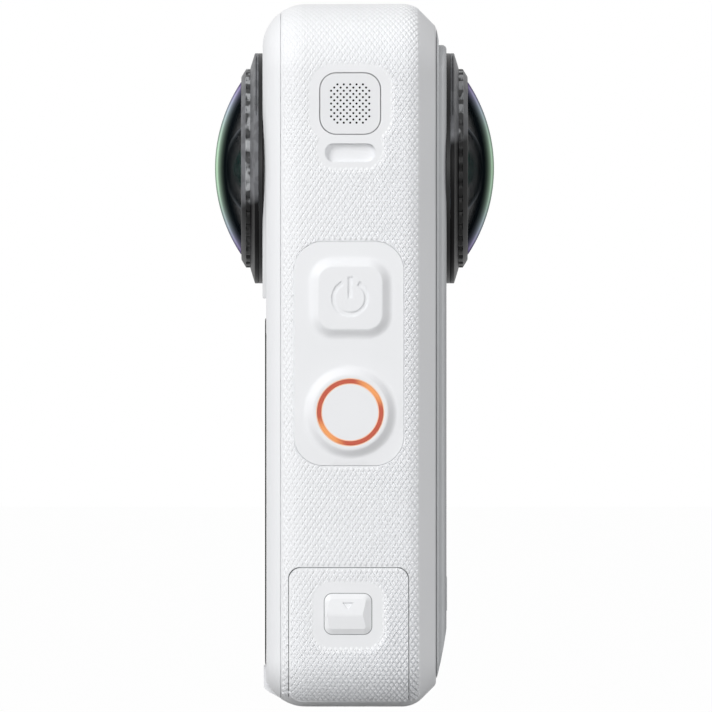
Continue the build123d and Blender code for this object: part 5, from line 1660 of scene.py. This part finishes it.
@dataclass
class LensSide:
    """One lens: its fixed ring, barrel, glass and the twist-off guard over it."""

    side: str
    way: int
    axis_z: float = 87.3 * MM
    ring_steps: int = 320
    notch_count: int = 40
    notch_depth: float = 0.34 * MM
    grip_span: tuple[float, float] = (16.98 * MM, 17.52 * MM)
    ring_angle: float = math.radians(55)
    # The notches cut only what lies outside this radius
    notch_low_r: float = 16.0 * MM
    # The flange is what lies outside this radius and this far out
    flange_low_r: float = 18.5 * MM
    flange_low_out: float = 15.55 * MM
    grip_low_r: float = 15.2 * MM
    # Span along the axis of the grip faces that get the painted highlights
    painted_sheen_span: tuple[float, float] = (16.93 * MM, 17.7 * MM)
    slot_out: float = 15.93 * MM
    slot_reach: float = 0.06 * MM
    slot_angles: tuple[float, float] = (math.radians(28), math.radians(76))
    latch_angle: float = math.radians(33.5)
    slot_depth: float = 0.3 * MM
    dome_radius: float = 25.3 * MM
    dome_apex: float = 22.67 * MM
    dome_glass: float = 1.0 * MM
    dome_edge_r: float = 13.98 * MM
    dome_inner_edge_r: float = 13.2 * MM
    dome_seat_out: float = 18.4 * MM
    dome_seat_r: float = 13.25 * MM
    dome_steps: int = 128
    # Numbers of points from apex to edge, on the outer and the inner face
    dome_points: tuple[int, int] = (20, 18)
    group_steps: int = 72
    group_points: tuple[int, int] = (16, 14)
    # The ring's section in millimetres: distance out from the middle of the body, then radius
    ring_section: tuple[tuple[float, float], ...] = (
        (15.52, 15.1), (15.52, 18.6), (15.56, 18.68), (15.62, 18.7), (15.87, 18.7), (15.93, 18.7),
        (15.99, 18.7), (16.1, 18.7), (16.17, 18.66), (16.22, 18.55), (16.84, 16.52), (16.9, 16.3),
        (16.92, 16.16), (16.98, 16.15), (17.08, 16.15), (17.24, 16.15), (17.4, 16.15), (17.52, 16.15),
        (17.6, 16.12), (17.66, 16.04), (18.28, 15.02), (18.36, 14.86), (18.38, 14.7), (18.37, 14.0),
        (18.3, 13.32), (17.3, 13.3), (17.2, 14.6), (16.6, 15.0),
    )

    def build(self) -> None:
        """Builds and dresses the whole lens."""
        guard = f"{self.side}_guard"
        for node, finish, slot in (
            ("lens_mount", BLACK_RING, "black_ring"),
            ("lens_barrel", BLACK_BAFFLE, "barrel_black"),
            ("fisheye_lens", INNER_GLASS, "lens_glass"),
            ("inner_lenses", INNER_GLASS, "lens_glass"),
        ):
            piece = merged(f"{self.side}_{node}", f"{self.side}_{node}_finished")
            hand_over(piece, finish, "root", slot, f"{self.side}_{node}")
        ring = self._ring()
        report(ring, guard, "black_ring", f"{self.side}_guard_ring")
        dome = self._dome()
        report(dome, guard, "guard_glass", f"{self.side}_guard_dome")
        self._front_group()

    def _ring(self) -> bpy.types.Object:
        """Spins the guard's ring, then presses the grip's notches and the flange's slot into it.

        Returns:
            The dressed ring.
        """
        section = [(out * MM, radius * MM) for out, radius in self.ring_section]
        ring = turned(f"{self.side}_guard_ring_finished", section, self.axis_z, self.way, self.ring_steps)
        points = np.array([v.co for v in ring.data.vertices])
        out = points[:, 0] * self.way
        y, z = points[:, 1], points[:, 2] - self.axis_z
        radius = np.hypot(y, z)
        angle = np.arctan2(z, np.abs(y))
        press = np.zeros(len(points))
        on_grip = (out > self.grip_span[0] - 10 * SAME_PLACE) & (out < self.grip_span[1] + 10 * SAME_PLACE)
        on_grip &= radius > self.notch_low_r
        wave = np.clip(np.cos(self.notch_count * angle), 0, 1) ** 2
        press[on_grip] = self.notch_depth * wave[on_grip]
        on_flange = (radius > self.flange_low_r) & (out > self.flange_low_out)
        in_slot = (np.abs(out - self.slot_out) < self.slot_reach / 2) & on_flange
        in_slot &= (angle > self.slot_angles[0]) & (angle < self.slot_angles[1])
        in_latch = on_flange & (np.abs(angle - self.latch_angle) < math.pi / self.ring_steps)
        press[in_slot | in_latch] = self.slot_depth
        share = 1 - press / radius
        points[:, 1] = y * share
        points[:, 2] = z * share + self.axis_z
        ring.data.vertices.foreach_set("co", points.ravel())
        ring.data.update()
        smooth(ring, self.ring_angle)
        # Painted sheen on the ring's upper side, with painted highlights in patches on its grip
        dress(ring, RING_WITH_PAINTED_SHEEN)
        ring.data.materials.append(RING_GRIP_PAINTED_HIGHLIGHTS.material())
        for face in ring.data.polygons:
            out = face.center.x * self.way
            outer = math.hypot(face.center.y, face.center.z - self.axis_z) > self.grip_low_r
            face.material_index = int(outer and self.painted_sheen_span[0] < out < self.painted_sheen_span[1])
        return ring

    def _cap(self, apex: float, radius: float, edge: float, count: int) -> list[tuple[float, float]]:
        """Returns points of a spherical cap from its apex to its edge.

        Args:
            apex: Distance out of its top.
            radius: The sphere's radius.
            edge: The cap's own radius.
            count: Number of points.

        Returns:
            Distance out and radius of each point.
        """
        reach = math.asin(edge / radius)
        turns = [reach * number / (count - 1) for number in range(count)]
        return [(apex - radius * (1 - math.cos(turn)), radius * math.sin(turn)) for turn in turns]

    def _dome(self) -> bpy.types.Object:
        """Spins the guard's dome as a closed shell of glass.

        Returns:
            The dressed dome.
        """
        outer_count, inner_count = self.dome_points
        outer = self._cap(self.dome_apex, self.dome_radius, self.dome_edge_r, outer_count)
        inner = self._cap(self.dome_apex - self.dome_glass, self.dome_radius - self.dome_glass,
                          self.dome_inner_edge_r, inner_count)
        seat = [(self.dome_seat_out, self.dome_edge_r), (self.dome_seat_out, self.dome_seat_r)]
        dome = turned(f"{self.side}_guard_dome_finished", outer + seat + inner[::-1], self.axis_z,
                      self.way, self.dome_steps)
        smooth(dome, SOFT_ANGLE)
        # Painted reflection on the dome's outer face
        dress(dome, GUARD_PAINTED_REFLECTION)
        # Painted shade on the dome's inner face
        dome.data.materials.append(GUARD_INNER_PAINTED_SHADE.material())
        middle = Vector((self.way * (self.dome_apex - self.dome_radius), 0, self.axis_z))
        for face in dome.data.polygons:
            inside = (face.center - middle).length < self.dome_radius - self.dome_glass / 2
            face.material_index = int(inside)
        return dome

    def _front_group(self) -> None:
        """Spins the bulging front group under the guard: a glass shell over a small dark pupil."""
        for name, apex, radius, edge, glass, finish in (
            # The front shell's edges carry painted highlights that glow
            ("front_shell", 21.2, 9.6, 6.85, 0.2, SHELL_GLASS),
            ("pupil", 20.0, 4.3, 3.35, 0.3, PUPIL_GLASS),
        ):
            outer_count, inner_count = self.group_points
            outer = self._cap(apex * MM, radius * MM, edge * MM, outer_count)
            inner = self._cap((apex - glass) * MM, (radius - glass) * MM, (edge - glass) * MM, inner_count)
            piece = turned(f"{self.side}_{name}", outer + inner[::-1], self.axis_z, self.way,
                           self.group_steps)
            smooth(piece, SOFT_ANGLE)
            hand_over(piece, finish, "root", "lens_glass")


@dataclass
class Seals:
    """The rubber seals, each on the body that carries it."""

    bodies: tuple[tuple[str, str], ...] = (
        ("cap_gasket", "battery_pack"),
        ("port_gasket", "port_door"),
        ("front_guard_seal", "front_guard"),
        ("rear_guard_seal", "rear_guard"),
    )

    def build(self) -> None:
        """Merges each seal's mesh, dresses it and puts it on its body."""
        for node, body in self.bodies:
            hand_over(merged(node, f"{node}_soft"), SEAL_RUBBER, body, "seal_rubber", node)


@dataclass
class Internals:
    """The parts inside, which keep their CAD shape and get their own finish."""

    def build(self) -> None:
        """Dresses every CAD node that no piece replaces."""
        for node, finish in INNER_FINISHES.items():
            dress(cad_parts[node], finish)
            LOG.info("%s: keeps its CAD shape", node)


@dataclass
class Studio:
    """Plain white studio with soft light and the camera square to the button side."""

    distance: float = 5.3
    view_width: float = 0.1157
    aim: tuple[float, float, float] = (0.000244, 0.0, 0.0568)
    ambient: float = 0.42
    far_clip: float = 40.0
    floor_size: float = 14.0
    floor_grey: str = "A8A8A8"
    # How near the floor comes to plain white where it is seen; the rest is lit paint with the shadow
    floor_white: float = 0.985

    def build(self) -> None:
        """Makes the camera, lights, floor and world."""
        self._camera()
        self._lights()
        self._floor()
        self._world()
        bpy.context.scene.view_settings.view_transform = "Standard"

    def _camera(self) -> None:
        """Sets a long lens far off, level with the middle of the camera."""
        data = bpy.data.cameras.new("view")
        data.lens = data.sensor_width * self.distance / self.view_width
        data.clip_end = self.far_clip
        camera = new_object("view", data)
        camera.location = (self.aim[0], self.aim[1] - self.distance, self.aim[2])
        camera.rotation_euler = (math.pi / 2, 0, 0)
        bpy.context.scene.camera = camera

    def _lights(self) -> None:
        """Hangs the soft boxes: a strong one up to the left, a faint one above and one in front."""
        for name, place, size, power in (
            ("key_box", (-1.0, -0.95, 0.75), 0.6, 13.5),
            ("top_box", (-0.1, -0.2, 1.3), 0.8, 0.8),
            ("front_box", (0.35, -1.5, 0.15), 0.7, 8.6),
        ):
            data = bpy.data.lights.new(name, "AREA")
            data.energy = power
            data.size = size
            lamp = new_object(name, data)
            lamp.location = place
            aim = Vector(self.aim) - Vector(place)
            lamp.rotation_euler = aim.to_track_quat("-Z", "Y").to_euler()

    def _floor(self) -> None:
        """Lays the pale floor, which shows white and keeps a trace of the shadow."""
        start_primitive()
        bpy.ops.mesh.primitive_plane_add(size=self.floor_size, location=(0, 0, 0))
        floor = bpy.context.object
        floor.name = "floor"
        settle(floor)
        made = blank_material("pale_floor")
        tree = made.node_tree
        seen = self._seen(tree, self.floor_white)
        paint = add_node(tree, "ShaderNodeBsdfDiffuse", {"Color": linear(self.floor_grey)})
        glow = add_node(tree, "ShaderNodeEmission", {"Color": (1, 1, 1, 1), "Strength": 1.0})
        mix = add_node(tree, "ShaderNodeMixShader", None,
                       {0: seen, 1: paint.outputs["BSDF"], 2: glow.outputs["Emission"]})
        add_node(tree, "ShaderNodeOutputMaterial", None, {"Surface": mix.outputs["Shader"]})
        floor.data.materials.append(made)

    def _world(self) -> None:
        """Lights the scene evenly and shows white wherever the background is seen."""
        world = bpy.data.worlds.new("studio")
        bpy.context.scene.world = world
        world.use_nodes = True
        tree = world.node_tree
        tree.nodes.clear()
        seen = self._seen(tree, 1.0)
        strength = add_node(tree, "ShaderNodeMapRange", {"To Min": self.ambient, "To Max": 1.0},
                            {"Value": seen})
        background = add_node(tree, "ShaderNodeBackground", {"Color": (1, 1, 1, 1)},
                              {"Strength": strength.outputs["Result"]})
        add_node(tree, "ShaderNodeOutputWorld", None, {"Surface": background.outputs["Background"]})

    def _seen(self, tree: bpy.types.NodeTree, share: float) -> bpy.types.NodeSocket:
        """Adds the nodes that say whether a camera, glossy or transmitted ray meets the surface.

        Args:
            tree: The tree that gets the nodes.
            share: The value where such a ray meets it.

        Returns:
            The socket with that value.
        """
        path = add_node(tree, "ShaderNodeLightPath")
        first = add_node(tree, "ShaderNodeMath", {"operation": "MAXIMUM"},
                         {0: path.outputs["Is Camera Ray"], 1: path.outputs["Is Glossy Ray"]})
        both = add_node(tree, "ShaderNodeMath", {"operation": "MAXIMUM"},
                        {0: first.outputs["Value"], 1: path.outputs["Is Transmission Ray"]})
        scaled = add_node(tree, "ShaderNodeMath", {"operation": "MULTIPLY", 1: share},
                          {0: both.outputs["Value"]})
        return scaled.outputs["Value"]


def main() -> None:
    """Builds every sub-assembly round the CAD frame, then the studio."""
    logging.basicConfig(level=logging.INFO, format="%(message)s")
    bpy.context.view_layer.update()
    body = BodyOutline()
    Housing(body).build()
    ButtonPad().build()
    BatteryPack(GripTexture(body)).build()
    PortDoor(GripTexture(body)).build()
    Seams(GripTexture(body)).build()
    LensSide("front", 1).build()
    LensSide("rear", -1).build()
    Seals().build()
    Internals().build()
    Studio().build()


if __name__ == "__main__":
    main()
